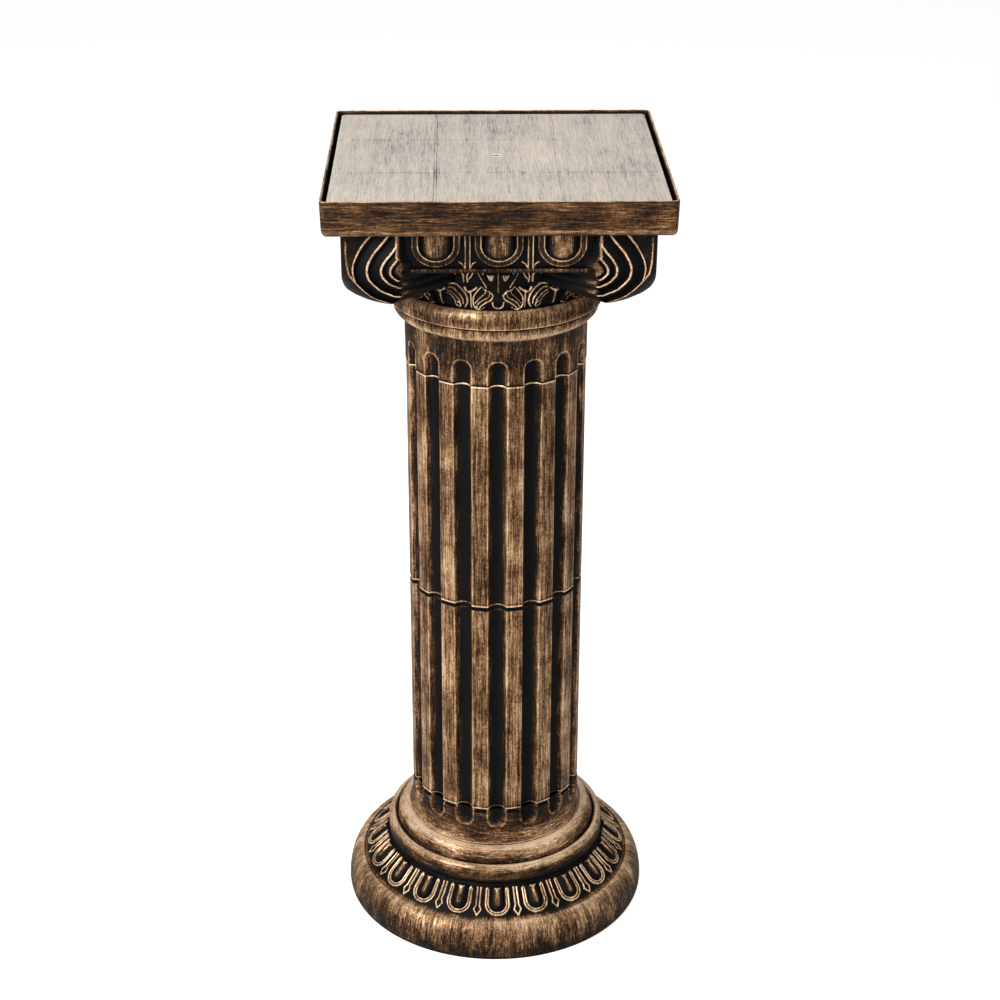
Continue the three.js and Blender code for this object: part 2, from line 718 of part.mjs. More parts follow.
function tray() {
  const halfBottom = traySide / 2 - trayDraft;
  const insideHalf = halfBottom - trayWall;
  const floorTop = trayBottom + trayFloor;
  const well = lofted(
    roundedSquare(insideHalf, trayCorner - trayWall),
    floorTop,
    roundedSquare(traySide / 2 - trayWall, trayCorner - trayWall),
    standTop + overshoot,
  );
  const pegHoles = [[1, 1], [-1, 1], [-1, -1], [1, -1]].map(([signX, signY]) => (
    cylinder(pegRadius + pegClearance, trayBottom - overshoot, floorTop + overshoot, smallSegments)
      .translate([signX * pegPlace, signY * pegPlace, 0])));
  const rodHole = cylinder(rodRadius + rodClearance, trayBottom - overshoot, floorTop + overshoot,
    smallSegments);
  return roundedPlate(halfBottom, trayCorner, trayEdge, trayBottom, standTop)
    .subtract(well)
    .subtract(joined([...pegHoles, rodHole]));
}

function panel() {
  const half = traySide / 2 - trayDraft - trayWall - panelClearance;
  const top = standTop - panelDrop;
  const bottom = top - panelThickness;
  const ribBottom = trayBottom + trayFloor + seatGap;
  const ribHalf = half - panelCorner;
  const parts = [raised(roundedSquare(half, panelCorner), bottom, top)];
  for (const place of [-panelRibPlace, panelRibPlace]) {
    const along = block(panelRibWidth / 2, ribHalf, ribBottom, bottom + bite);
    const across = block(ribHalf, panelRibWidth / 2, ribBottom, bottom + bite);
    parts.push(along.translate([place, 0, 0]), across.translate([0, place, 0]));
  }
  return joined(parts);
}

// ---- Tie rod and fasteners ----

const baseWasherTop = quarterBottom - webThickness - hubHeight - seatGap;
const baseNutTop = baseWasherTop - washerHeight - seatGap;
const trayWasherBottom = trayBottom + trayFloor + seatGap;
const trayNutBottom = trayWasherBottom + washerHeight + seatGap;
const rodBottom = baseNutTop - nutHeight - rodOverhang;
const rodTop = trayNutBottom + nutHeight + rodOverhang;

function nut(bottom) {
  const cornerRadius = nutWidth / Math.sqrt(3);
  const plan = arc([0, 0], [cornerRadius, cornerRadius], 0, 5 / 6, 5);
  return raised(plan.map(([x, y]) => new THREE.Vector2(x, y)), bottom, bottom + nutHeight)
    .subtract(cylinder(rodRadius + threadClearance, bottom - overshoot,
      bottom + nutHeight + overshoot, smallSegments));
}

function washer(bottom) {
  return ring(rodRadius + threadClearance, washerRadius, bottom, bottom + washerHeight, smallSegments);
}

// ---- Materials and scene graph ----

const brushedBronze = new THREE.MeshStandardMaterial({
  color: 0x6f5236, roughness: 0.5, metalness: 0.25,
});
const brushedPanel = new THREE.MeshStandardMaterial({
  color: 0x98846a, roughness: 0.45, metalness: 0.2,
});
const zincSteel = new THREE.MeshStandardMaterial({
  color: 0xb4b6b8, roughness: 0.35, metalness: 0.9,
});

const stand = new THREE.Group();

function place(name, solid, material) {
  const mesh = new THREE.Mesh(toGeometry(solid), material);
  mesh.name = name;
  stand.add(mesh);
}

place('base', base(), brushedBronze);
place('lower_shaft', shaftSegment(seamBase, seamShaft, shaftRebate), brushedBronze);
place('upper_shaft', shaftSegment(seamShaft, seamCapital, capitalRebate), brushedBronze);
place('capital', capital(), brushedBronze);
place('top_tray', tray(), brushedBronze);
place('top_panel', panel(), brushedPanel);
place('tie_rod', cylinder(rodRadius, rodBottom, rodTop, smallSegments), zincSteel);
place('base_washer', washer(baseWasherTop - washerHeight), zincSteel);
place('base_nut', nut(baseNutTop - nutHeight), zincSteel);
place('tray_washer', washer(trayWasherBottom), zincSteel);
place('tray_nut', nut(trayNutBottom), zincSteel);

export default stand;
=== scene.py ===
import math

import bpy
import numpy as np
from mathutils import Matrix, Vector


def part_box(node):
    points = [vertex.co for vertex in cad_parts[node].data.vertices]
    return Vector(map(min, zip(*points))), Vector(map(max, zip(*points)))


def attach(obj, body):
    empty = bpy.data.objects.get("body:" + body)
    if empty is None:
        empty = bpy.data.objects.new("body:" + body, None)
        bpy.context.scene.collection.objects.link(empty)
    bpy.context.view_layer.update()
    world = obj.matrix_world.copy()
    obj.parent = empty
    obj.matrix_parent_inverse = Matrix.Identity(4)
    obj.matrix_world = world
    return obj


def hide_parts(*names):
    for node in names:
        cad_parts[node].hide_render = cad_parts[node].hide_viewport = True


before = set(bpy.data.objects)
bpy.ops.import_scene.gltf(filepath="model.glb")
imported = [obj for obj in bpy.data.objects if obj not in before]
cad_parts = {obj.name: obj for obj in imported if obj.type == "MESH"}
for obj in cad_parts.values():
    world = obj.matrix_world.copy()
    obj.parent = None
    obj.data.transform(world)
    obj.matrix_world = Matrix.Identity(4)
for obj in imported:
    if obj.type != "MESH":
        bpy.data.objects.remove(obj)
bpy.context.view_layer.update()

# Pedestal column stand. Lengths are in millimetres until a mesh is made, +Z is up and the front
# faces -Y. Every moulding is swept or revolved with its carving worked out point by point, and
# carries two attributes: "wear", how much bronze the dry brush leaves there, and "grain", a place
# that changes slowly along the brush strokes.

MM = 0.001
TURN = 2 * math.pi


# ---- Sizes, read from the frame where a node gives them ----

def corners(node):
    """A node's lowest and highest corner."""
    low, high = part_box(node)
    return np.array(low) / MM, np.array(high) / MM


SEAT_GAP = 0.3
seam_base = corners("lower_shaft")[0][2] - SEAT_GAP
seam_shaft = corners("upper_shaft")[0][2] - SEAT_GAP
seam_capital = corners("capital")[0][2] - SEAT_GAP
tray_bottom = corners("top_tray")[0][2]
stand_top = corners("top_tray")[1][2]
tray_half = corners("top_tray")[1][0]
panel_top = corners("top_panel")[1][2]
panel_half = corners("top_panel")[1][0]
torus_radius = corners("base")[1][0]
spigot_length = corners("base")[1][2] - seam_base
capital_top = tray_bottom - SEAT_GAP

# Shaft
SHAFT_RADIUS = 87.0
FLUTE_COUNT = 16
FLUTE_WIDTH = 17.5
FLUTE_DEPTH = 6.5
SHELL_WALL = 2.6
SPIGOT_CLEARANCE = 0.4
EDGE_ROUND = 2.4  # depth over which a flute's edge is rounded where it ends
REBATE_DEPTH = 1.6
REBATE_HEIGHT = 4.0
ROD_HOLE = 4.5  # radius
flute_chord = math.sqrt(SHAFT_RADIUS ** 2 - (FLUTE_WIDTH / 2) ** 2)
flute_arc = ((FLUTE_WIDTH / 2) ** 2 + FLUTE_DEPTH ** 2) / (2 * FLUTE_DEPTH)
flute_axis = flute_chord - FLUTE_DEPTH + flute_arc
socket_radius = flute_axis - flute_arc - SHELL_WALL
spigot_radius = socket_radius - SPIGOT_CLEARANCE
bore_radius = spigot_radius - SHELL_WALL


# ---- Curves and fields ----

def arc(centre, radii, start, end, steps):
    """Points on an ellipse's arc, with its ends given in turns from the first axis."""
    angle = TURN * np.linspace(start, end, steps + 1)
    return np.stack([centre[0] + radii[0] * np.cos(angle), centre[1] + radii[1] * np.sin(angle)], 1)


def run(points, wear):
    """A run of outline points with the wear at its start and end, or all along."""
    points = np.array(points, float)
    levels = np.linspace(*wear, len(points)) if np.ndim(wear) else np.full(len(points), wear)
    return np.column_stack([points, levels])


def densify(points, step):
    """Adds points along straight stretches, so that none is longer than step."""
    out = [points[:1]]
    for a, b in zip(points[:-1], points[1:]):
        count = max(1, int(math.ceil(np.linalg.norm(b[:2] - a[:2]) / step)))
        share = np.arange(1, count + 1)[:, None] / count
        out.append(a + (b - a) * share)
    return np.concatenate(out)


def smooth(value, low, high):
    """0 below low, 1 above high, with an easy curve between them."""
    share = np.clip((value - low) / (high - low), 0, 1)
    return share * share * (3 - 2 * share)


def ridge(distance, half_width):
    """A rounded ridge's height, 1 on its line and 0 from half_width on."""
    share = np.clip(np.abs(distance) / half_width, 0, 1)
    return np.sqrt(1 - share ** 2)


def line_distance(x, y, points):
    """Distance from each (x, y) to a polyline, and how far along it the nearest point is, 0 to 1."""
    points = np.array(points, float)
    lengths = np.linalg.norm(np.diff(points, axis=0), axis=1)
    starts = np.concatenate([[0], np.cumsum(lengths)]) / max(lengths.sum(), 1e-9)
    best = np.full(np.shape(x), 1e9)
    along = np.zeros(np.shape(x))
    for i, ((ax, ay), (bx, by)) in enumerate(zip(points[:-1], points[1:])):
        dx, dy = bx - ax, by - ay
        share = np.clip(((x - ax) * dx + (y - ay) * dy) / max(dx * dx + dy * dy, 1e-9), 0, 1)
        distance = np.hypot(x - ax - share * dx, y - ay - share * dy)
        nearer = distance < best
        best = np.where(nearer, distance, best)
        along = np.where(nearer, starts[i] + share * (starts[i + 1] - starts[i]), along)
    return best, along


def curve(points, steps=8):
    """A smooth line through given points."""
    points = np.array(points, float)
    padded = np.concatenate([2 * points[:1] - points[1:2], points, 2 * points[-1:] - points[-2:-1]])
    out = [points[:1]]
    for i in range(len(points) - 1):
        p0, p1, p2, p3 = padded[i:i + 4]
        t = np.linspace(0, 1, steps + 1)[1:, None]
        out.append(0.5 * (2 * p1 + (p2 - p0) * t + (2 * p0 - 5 * p1 + 4 * p2 - p3) * t ** 2
                          + (3 * p1 - p0 - 3 * p2 + p3) * t ** 3))
    return np.concatenate(out)


# ---- Meshes ----

def grid_quads(rows, columns, wrap_rows, wrap_columns, start=0):
    """Quads of a grid of points, row by row."""
    i = np.arange(rows if wrap_rows else rows - 1)
    j = np.arange(columns if wrap_columns else columns - 1)
    i, j = np.meshgrid(i, j, indexing="ij")
    i2, j2 = (i + 1) % rows, (j + 1) % columns
    quads = np.stack([i * columns + j, i * columns + j2, i2 * columns + j2, i2 * columns + j], -1)
    return (quads.reshape(-1, 4) + start).tolist()


def outward(points, faces):
    """The faces, turned over if they point into the solid."""
    quads = np.array([f for f in faces if len(f) == 4])
    a, b, c, d = (points[quads[:, k]] for k in range(4))
    volume = np.einsum("ij,ij->i", a, np.cross(b, c) + np.cross(c, d)).sum()
    for fan in (points[f] for f in faces if len(f) != 4):
        volume += fan[0] @ np.cross(fan[1:-1], fan[2:]).sum(0)
    return faces if volume > 0 else [f[::-1] for f in faces]


SHARP_ANGLE = math.radians(50)


class Shape:
    """Closed meshes gathered into one piece."""

    def __init__(self):
        self.points, self.wear, self.grain, self.faces = [], [], [], []
        self.count = 0

    def add(self, points, faces, wear, grain):
        """A closed mesh, with the wear and grain of each of its points."""
        points = np.asarray(points, float).reshape(-1, 3)
        faces = outward(points, faces)
        self.faces += [[v + self.count for v in face] for face in faces]
        self.points.append(points)
        self.wear.append(np.broadcast_to(np.asarray(wear, float).reshape(-1), (len(points),)))
        self.grain.append(np.asarray(grain, float).reshape(-1, 3))
        self.count += len(points)

    def add_grid(self, points, wear, grain, wrap_rows=True):
        """A grid whose rows are closed rings. The last row meets the first, or both are capped."""
        rows, columns = points.shape[:2]
        faces = grid_quads(rows, columns, wrap_rows, True)
        if not wrap_rows:
            faces += [list(range(columns))[::-1], [(rows - 1) * columns + j for j in range(columns)]]
        self.add(points, faces, wear, grain)

    def add_box(self, low, high, angle=0.0):
        """A plain box without paint, turned about the Z axis."""
        points = np.array([[x, y, z] for z in (low[2], high[2]) for y in (low[1], high[1])
                           for x in (low[0], high[0])], float)
        faces = [[0, 2, 3, 1], [4, 5, 7, 6], [0, 1, 5, 4], [2, 6, 7, 3], [0, 4, 6, 2], [1, 3, 7, 5]]
        turn = np.array(Matrix.Rotation(angle, 3, "Z"))
        self.add(points @ turn.T, faces, 0.0, points * 0)

    def add_turned(self, other, angle):
        """A copy of another shape, turned about the Z axis."""
        turn = np.array(Matrix.Rotation(angle, 3, "Z"))
        for points, wear, grain in zip(other.points, other.wear, other.grain):
            self.points.append(points @ turn.T)
            self.wear.append(wear)
            self.grain.append(grain @ turn.T)
        self.faces += [[v + self.count for v in face] for face in other.faces]
        self.count += other.count

    def make(self, name, node, slot, material):
        """The visible piece, in place of its node of the frame."""
        mesh = bpy.data.meshes.new(name)
        mesh.from_pydata((np.concatenate(self.points) * MM).tolist(), [], self.faces)
        wear = mesh.attributes.new("wear", "FLOAT", "POINT")
        wear.data.foreach_set("value", np.concatenate(self.wear).astype(np.float32))
        grain = mesh.attributes.new("grain", "FLOAT_VECTOR", "POINT")
        grain.data.foreach_set("vector", (np.concatenate(self.grain) * MM).astype(np.float32).ravel())
        mesh.shade_smooth()
        mesh.set_sharp_from_angle(angle=SHARP_ANGLE)
        mesh.materials.append(material)
        piece = bpy.data.objects.new(name, mesh)
        bpy.context.scene.collection.objects.link(piece)
        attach(piece, "root")
        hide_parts(node)


def on_four_sides(first):
    """The same shape on all four sides of the column."""
    shape = Shape()
    for i in range(4):
        shape.add_turned(first, i * TURN / 4)
    return shape


def revolve_grid(radius, height, angle):
    """Places of a grid of rows and columns, from their radius, height and angle."""
    radius, height, angle = np.broadcast_arrays(radius, height, angle)
    return np.stack([radius * np.cos(angle), radius * np.sin(angle), height], -1)


def round_grain(angle, along, reach, stretch=0.1):
    """Grain of a turned shape. A small stretch lays the strokes along its outline, and a small
    reach lays them around it."""
    angle, along = np.broadcast_arrays(angle, along)
    return np.stack([reach * np.cos(angle), reach * np.sin(angle), stretch * along], -1)


def arc_length(line):
    """Length along a line at each of its points."""
    steps = np.linalg.norm(np.diff(line[:, :2], axis=0), axis=1)
    return np.concatenate([[0], np.cumsum(steps)])


def resample(line, count):
    """The same line with a number of evenly spaced points."""
    places = arc_length(line)
    at = np.linspace(0, places[-1], count)
    return np.stack([np.interp(at, places, line[:, k]) for k in range(2)], 1)


def turned_grid(outside, inside, step, columns):
    """A turned outline, fine on its carved outside: each row's radius, height, wear and length
    along the outline, whether it lies outside, and the angle of each column."""
    dense = densify(outside, step)
    sections = np.concatenate([dense, inside])
    is_outside = np.arange(len(sections))[:, None] < len(dense)
    angle = np.linspace(0, TURN, columns, endpoint=False)[None, :]
    return (*sections.T[:, :, None], arc_length(sections)[:, None], is_outside, angle)


# ---- Materials ----

# noises on the grain, per metre: brush strokes, the brush's hairs and broad bands of paint
STROKE_SCALE, HAIR_SCALE, BAND_SCALE = 620, 1600, 110
# noises all over, per metre: fine specks and coarser grit
SPECKLE_SCALE, GRIT_SCALE = 900, 330
BUMP_HEIGHT = 0.0003


class Material:
    """A new material, with short ways to add nodes to it."""

    def __init__(self, name):
        self.data = bpy.data.materials.new(name)
        self.data.use_nodes = True
        self.nodes, self.links = self.data.node_tree.nodes, self.data.node_tree.links
        self.shader = self.nodes["Principled BSDF"].inputs

    def feed(self, socket, value):
        """Gives a socket a number, a colour or another node's output."""
        if isinstance(value, bpy.types.NodeSocket):
            self.links.new(value, socket)
        else:
            socket.default_value = value

    def source(self, kind, output):
        """An output of a new node that needs no input."""
        return self.nodes.new(kind).outputs[output]

    def attribute(self, name, output):
        node = self.nodes.new("ShaderNodeAttribute")
        node.attribute_name = name
        return node.outputs[output]

    def noise(self, vector, scale, detail, rough=0.5):
        node = self.nodes.new("ShaderNodeTexNoise")
        for socket, value in (("Vector", vector), ("Scale", scale), ("Detail", detail),
                              ("Roughness", rough)):
            self.feed(node.inputs[socket], value)
        return node.outputs["Fac"]

    def math(self, operation, a, b):
        node = self.nodes.new("ShaderNodeMath")
        node.operation = operation
        self.feed(node.inputs[0], a)
        self.feed(node.inputs[1], b)
        return node.outputs[0]

    def ramp(self, fac, stops):
        """Colours, or grey levels, that follow a value."""
        node = self.nodes.new("ShaderNodeValToRGB")
        elements = node.color_ramp.elements
        while len(elements) < len(stops):
            elements.new(0.5)
        for element, (place, color) in zip(elements, stops):
            element.position = place
            element.color = (*color, 1) if np.ndim(color) else (color, color, color, 1)
        self.feed(node.inputs["Fac"], fac)
        return node.outputs["Color"]


def paint(name, stops, streak, speck, patch, shine, patch_scale=26):
    """Black moulded plastic with a dry-brushed metallic paint, laid where the wear is high."""
    material = Material(name)
    position = material.source("ShaderNodeTexCoord", "Object")
    wear = material.attribute("wear", "Fac")
    grain = material.attribute("grain", "Vector")
    strokes = material.noise(grain, STROKE_SCALE, 5, 0.65)
    hairs = material.noise(grain, HAIR_SCALE, 3, 0.6)
    bands = material.noise(grain, BAND_SCALE, 3, 0.6)
    speckle = material.noise(position, SPECKLE_SCALE, 3, 0.75)
    grit = material.noise(position, GRIT_SCALE, 4, 0.7)
    patches = material.noise(position, patch_scale, 4, 0.65)
    # where there is no wear at all, the brush doesn't reach, and the plastic stays black
    reached = material.math("MINIMUM", material.math("MULTIPLY", wear, 3), 1)
    swings = 0
    for fac, amount in ((strokes, streak), (hairs, 0.8 * streak), (bands, 0.6 * streak),
                        (speckle, speck), (grit, 0.6 * speck), (patches, patch)):
        swing = material.math("MULTIPLY", material.math("SUBTRACT", fac, 0.5), amount)
        swings = material.math("ADD", swing, swings)
    total = material.math("ADD", wear, material.math("MULTIPLY", swings, reached))
    uneven = material.math("ADD", speckle, grit)
    uneven = material.math("ADD", material.math("MULTIPLY", hairs, 0.7), uneven)
    bump = material.nodes.new("ShaderNodeBump")
    material.feed(bump.inputs["Strength"], 0.5)
    material.feed(bump.inputs["Distance"], BUMP_HEIGHT)
    material.feed(bump.inputs["Height"], uneven)
    for socket, value in (
            ("Base Color", material.ramp(total, stops)),
            ("Metallic", material.ramp(total, [(0.36, 0), (0.62, 0.45)])),
            ("Roughness", material.ramp(total, [(0, 0.5), (0.4, 0.52), (0.75, 0.4)])),
            ("Specular IOR Level", shine), ("Normal", bump.outputs["Normal"])):
        material.feed(material.shader[socket], value)
    return material.data


def steel(name):
    """Zinc-plated steel with a fine grain."""
    material = Material(name)
    marks = material.noise(material.source("ShaderNodeTexCoord", "Object"), 900, 4)
    tone = material.ramp(marks, [(0, (0.42, 0.43, 0.44)), (1, (0.66, 0.67, 0.68))])
    for socket, value in (("Base Color", tone), ("Metallic", 1), ("Roughness", 0.32)):
        material.feed(material.shader[socket], value)
    return material.data


BRONZE = [(0.0, (0.003, 0.003, 0.004)), (0.2, (0.0082, 0.006, 0.0045)),
          (0.34, (0.031, 0.0148, 0.0068)), (0.5, (0.138, 0.066, 0.028)),
          (0.7, (0.45, 0.262, 0.135)), (1.0, (1.0, 0.72, 0.47))]
ORANGE_BRONZE = [(0.0, (0.004, 0.0035, 0.004)), (0.2, (0.0105, 0.0062, 0.004)),
                 (0.34, (0.032, 0.0145, 0.0066)), (0.5, (0.105, 0.048, 0.019)),
                 (0.7, (0.27, 0.135, 0.058)), (1.0, (0.8, 0.54, 0.33))]
PALE_BRONZE = [(0.0, (0.012, 0.0115, 0.012)), (0.25, (0.26, 0.245, 0.235)),
               (0.5, (0.56, 0.52, 0.47)), (0.72, (0.8, 0.7, 0.59)), (1.0, (0.95, 0.85, 0.73))]
bronze = paint("brushed_bronze", BRONZE, 1.0, 0.85, 0.85, 0.09)
orange_bronze = paint("brushed_orange_bronze", ORANGE_BRONZE, 1.2, 0.7, 0.8, 0.12)
pale_bronze = paint("brushed_pale_bronze", PALE_BRONZE, 1.25, 0.8, 0.9, 0.25, 11)
zinc = steel("zinc_steel")


# ---- Base ----

EGG_COUNT = 20
BASE_COLUMNS = 1200
BAND_MIDDLE = 126.0  # radius at which the carving has its true width
FLUTE_END = 20.2  # how far the flutes run down into the collar
# radius and height of the egg band's two edges, and how far the torus stands over the outer one
BAND_OUTER, BAND_INNER = (139.8, 36.0), (112.2, 61.8)
BAND_STEP = 1.6
WEB_BOTTOM, HUB_BOTTOM, HUB_RADIUS = 74.5, 65.5, 13.0
RIB_COUNT, RIB_WIDTH = 8, 2.4


def flute_aside(angle):
    """Angle from the middle of the nearest flute."""
    pitch = TURN / FLUTE_COUNT
    return (angle + TURN / 4 + pitch / 2) % pitch - pitch / 2


def flute_cut(angle, reach, landing):
    """Radius of the fluted wall at each angle, where reach is the flute's own radius there."""
    aside = flute_aside(angle)
    inside = reach ** 2 - (flute_axis * np.sin(aside)) ** 2
    near = flute_axis * np.cos(aside) - np.sqrt(np.maximum(inside, 0))
    near = np.where(inside > 0, near, landing + EDGE_ROUND)
    overlap = np.maximum(EDGE_ROUND - np.abs(near - landing), 0) / EDGE_ROUND
    return np.minimum(near, landing) - overlap ** 2 * EDGE_ROUND / 4


def flute_reach(height, end, towards):
    """A flute's radius at a height: full along its length, then round to its end."""
    past = np.clip(towards * (height - (end - towards * FLUTE_WIDTH / 2)), 0, None)
    return np.sqrt(np.maximum(flute_arc ** 2 - (past * flute_arc / (FLUTE_WIDTH / 2)) ** 2, 0))


def flute_distance(angle, height, end, towards):
    """Distance out from a round-ended flute's edge, below zero inside it."""
    past = np.clip(towards * (height - (end - towards * FLUTE_WIDTH / 2)), 0, None)
    return np.hypot(np.abs(flute_aside(angle)) * SHAFT_RADIUS, past) - FLUTE_WIDTH / 2


def flute_wear(distance, wear, outline):
    """Paint beside and inside a flute: a bright rim, a little on its walls, and black below."""
    walls = 0.5 * np.exp(np.minimum(distance, 0) / 3.6)
    rim = outline * (1 - smooth(np.abs(distance - 0.9), 0.5, 1.9))
    return np.where(distance < 0, np.maximum(walls, rim), np.maximum(wear, rim))


def flute_ends(fluted, radius, height, angle, wear, end, towards, outline):
    """Radius and wear of a wall whose flutes run to a round end at a height, on the fluted rows."""
    reach = flute_reach(height, end, towards)
    distance = flute_distance(angle, height, end, towards)
    return (np.where(fluted, flute_cut(angle, reach, radius), radius),
            np.where(fluted, flute_wear(distance, wear, outline), wear))


def base_carving(across, down):
    """Egg-and-dart relief of one tile, and its wear. down runs from the bead to the torus."""
    pitch = TURN * BAND_MIDDLE / EGG_COUNT
    arm_outer, arm_inner, bend, top = 11.9, 9.3, 19.8, 5.0
    line = 1.15
    ring = np.hypot(across, np.maximum(down - bend, 0))
    below_top = smooth(down, top - 0.8, top)
    outer = ridge(ring - arm_outer, line) * below_top
    inner = ridge(ring - arm_inner, line * 0.9) * below_top
    band = (np.abs(ring - (arm_outer + arm_inner) / 2) < (arm_outer - arm_inner) / 2) * below_top
    bead_x, bead_r = (arm_outer + arm_inner) / 2, 1.9
    arm_bead = ridge(np.hypot(np.abs(across) - bead_x, down - top + 0.6), bead_r)

    egg_half, egg_bend, egg_end = 6.9, 17.7, 10.2
    egg_ring = np.hypot(across / egg_half, np.maximum(down - egg_bend, 0) / egg_end)
    egg = np.sqrt(np.maximum(1 - egg_ring ** 2, 0)) * smooth(down, 1.6, 4.7)
    stem_width = 0.7 + 0.9 * (1 - smooth(down, 5.8, 8.8))
    stem = ridge(across, stem_width) * smooth(down, 4.3, 5.1) * (1 - smooth(down, 13.3, 16.3))
    wings, _ = line_distance(np.abs(across), down, [(0, 6.9), (2.9, 4.3)])
    fleur = np.maximum(stem, ridge(wings, 0.9))

    aside = pitch / 2 - np.abs(across)
    spear = [(1.9, 3.9), (1.9, 18.8), (1.7, 21.8), (3.5, 26.5), (0, 32.4)]
    dart_line, _ = line_distance(aside, down, spear)
    dart = ridge(dart_line, 1.05)
    dart_bead = ridge(np.hypot(aside - 1.9, down - 3.9), 1.6)
    in_spear = (aside < np.interp(down, [3.3, 21.8, 26.5, 32.4], [1.9, 1.7, 3.5, 0])) * (down < 32.3)

    height = np.maximum.reduce([1.7 * outer, 1.6 * inner, 0.9 * band, 2.1 * arm_bead,
                                3.3 * egg, 3.3 * egg * (fleur > 0) + 0.9 * fleur,
                                1.7 * dart, 1.9 * dart_bead, 0.7 * in_spear])
    wear = np.maximum.reduce([0.95 * smooth(outer, 0.35, 0.9), 0.9 * smooth(inner, 0.4, 0.9),
                              0.1 * band, 0.9 * smooth(arm_bead, 0.4, 0.9),
                              (0.34 + 0.25 * ridge(across, 2.6)) * smooth(egg, 0.72, 0.98),
                              0.85 * smooth(fleur, 0.4, 0.9),
                              0.95 * smooth(dart, 0.35, 0.9), 0.9 * smooth(dart_bead, 0.4, 0.9),
                              0.1 * in_spear])
    return height, wear


def base_outline():
    """The base's outline and its wear: the outside from the foot up, and the inside down again."""
    foot_radius, torus_middle = 154.5, 5.8
    torus_top_radius, torus_top = BAND_OUTER[0] + BAND_STEP, BAND_OUTER[1] + BAND_STEP
    groove = (103.8, 78.0)
    collar_radius, collar_flare = 90.8, 14.0
    ring_top = 96.0
    web_top = WEB_BOTTOM + 3.5
    rebate_top = seam_base - REBATE_HEIGHT
    outside = np.concatenate([
        run([(149.7, 0), (152, 0)], 0.05),
        run(arc((foot_radius, torus_middle), (torus_radius - foot_radius, torus_middle),
                0.75, 1, 6), (0.1, 0.3)),
        run(arc((torus_top_radius, torus_middle),
                (torus_radius - torus_top_radius, torus_top - torus_middle), 0, 0.245, 44)[1:],
            (0.28, 0.77)),
        run([(torus_top_radius - 0.4, torus_top - 0.1), (torus_top_radius - 1.1, torus_top - 0.6)],
            (0.75, 0.3)),
        run([BAND_OUTER], 0.45),
        run([BAND_INNER], 0.02),
        run([(111.9, 62.4), (112.2, 64.2), (113.1, 66.2)], (0.04, 0.2)),
        run([(113.2, 70)], 0.28),
        run(arc((107.6, 76.6), (5.6, 6.2), 0, 0.25, 14), (0.5, 1.0)),
        run([(106.2, 82.2), (105.0, 80.6)], (0.75, 0.45)),
        run([groove], 0.28),
        run(arc((collar_radius + 0.6, groove[1] + 0.6), (groove[0] - collar_radius - 0.6,
                ring_top - groove[1] - 0.8), 0, 0.25, 20)[1:], (0.3, 1.1)),
        run([(90.9, 95.9), (90.7, 96.3)], 0.1),
        run([(91.15, 96.9), (91.0, 97.5)], 0.85),
        run(arc((collar_radius, ring_top + 1.4 + collar_flare),
                (collar_radius - SHAFT_RADIUS, collar_flare), 0.74, 0.5, 10), (0.6, 0.4)),
        run([(SHAFT_RADIUS, 118)], 0.25),
        run([(SHAFT_RADIUS, rebate_top - 0.6)], 0.3),
        run([(SHAFT_RADIUS - 0.2, rebate_top), (SHAFT_RADIUS - REBATE_DEPTH, rebate_top + 0.1)], 0.12),
        run([(SHAFT_RADIUS - REBATE_DEPTH, seam_base)], 0.02),
        run([(spigot_radius, seam_base), (spigot_radius, seam_base + spigot_length)], 0.0),
    ])
    inside = run([
        (bore_radius, seam_base + spigot_length), (bore_radius, web_top), (ROD_HOLE, web_top),
        (ROD_HOLE, HUB_BOTTOM), (HUB_RADIUS, HUB_BOTTOM), (HUB_RADIUS, WEB_BOTTOM),
        (100.8, WEB_BOTTOM), (109, 58.6), (136.6, 31.2), (151.7, 12.2), (151.7, 0)], 0.0)
    return outside, inside


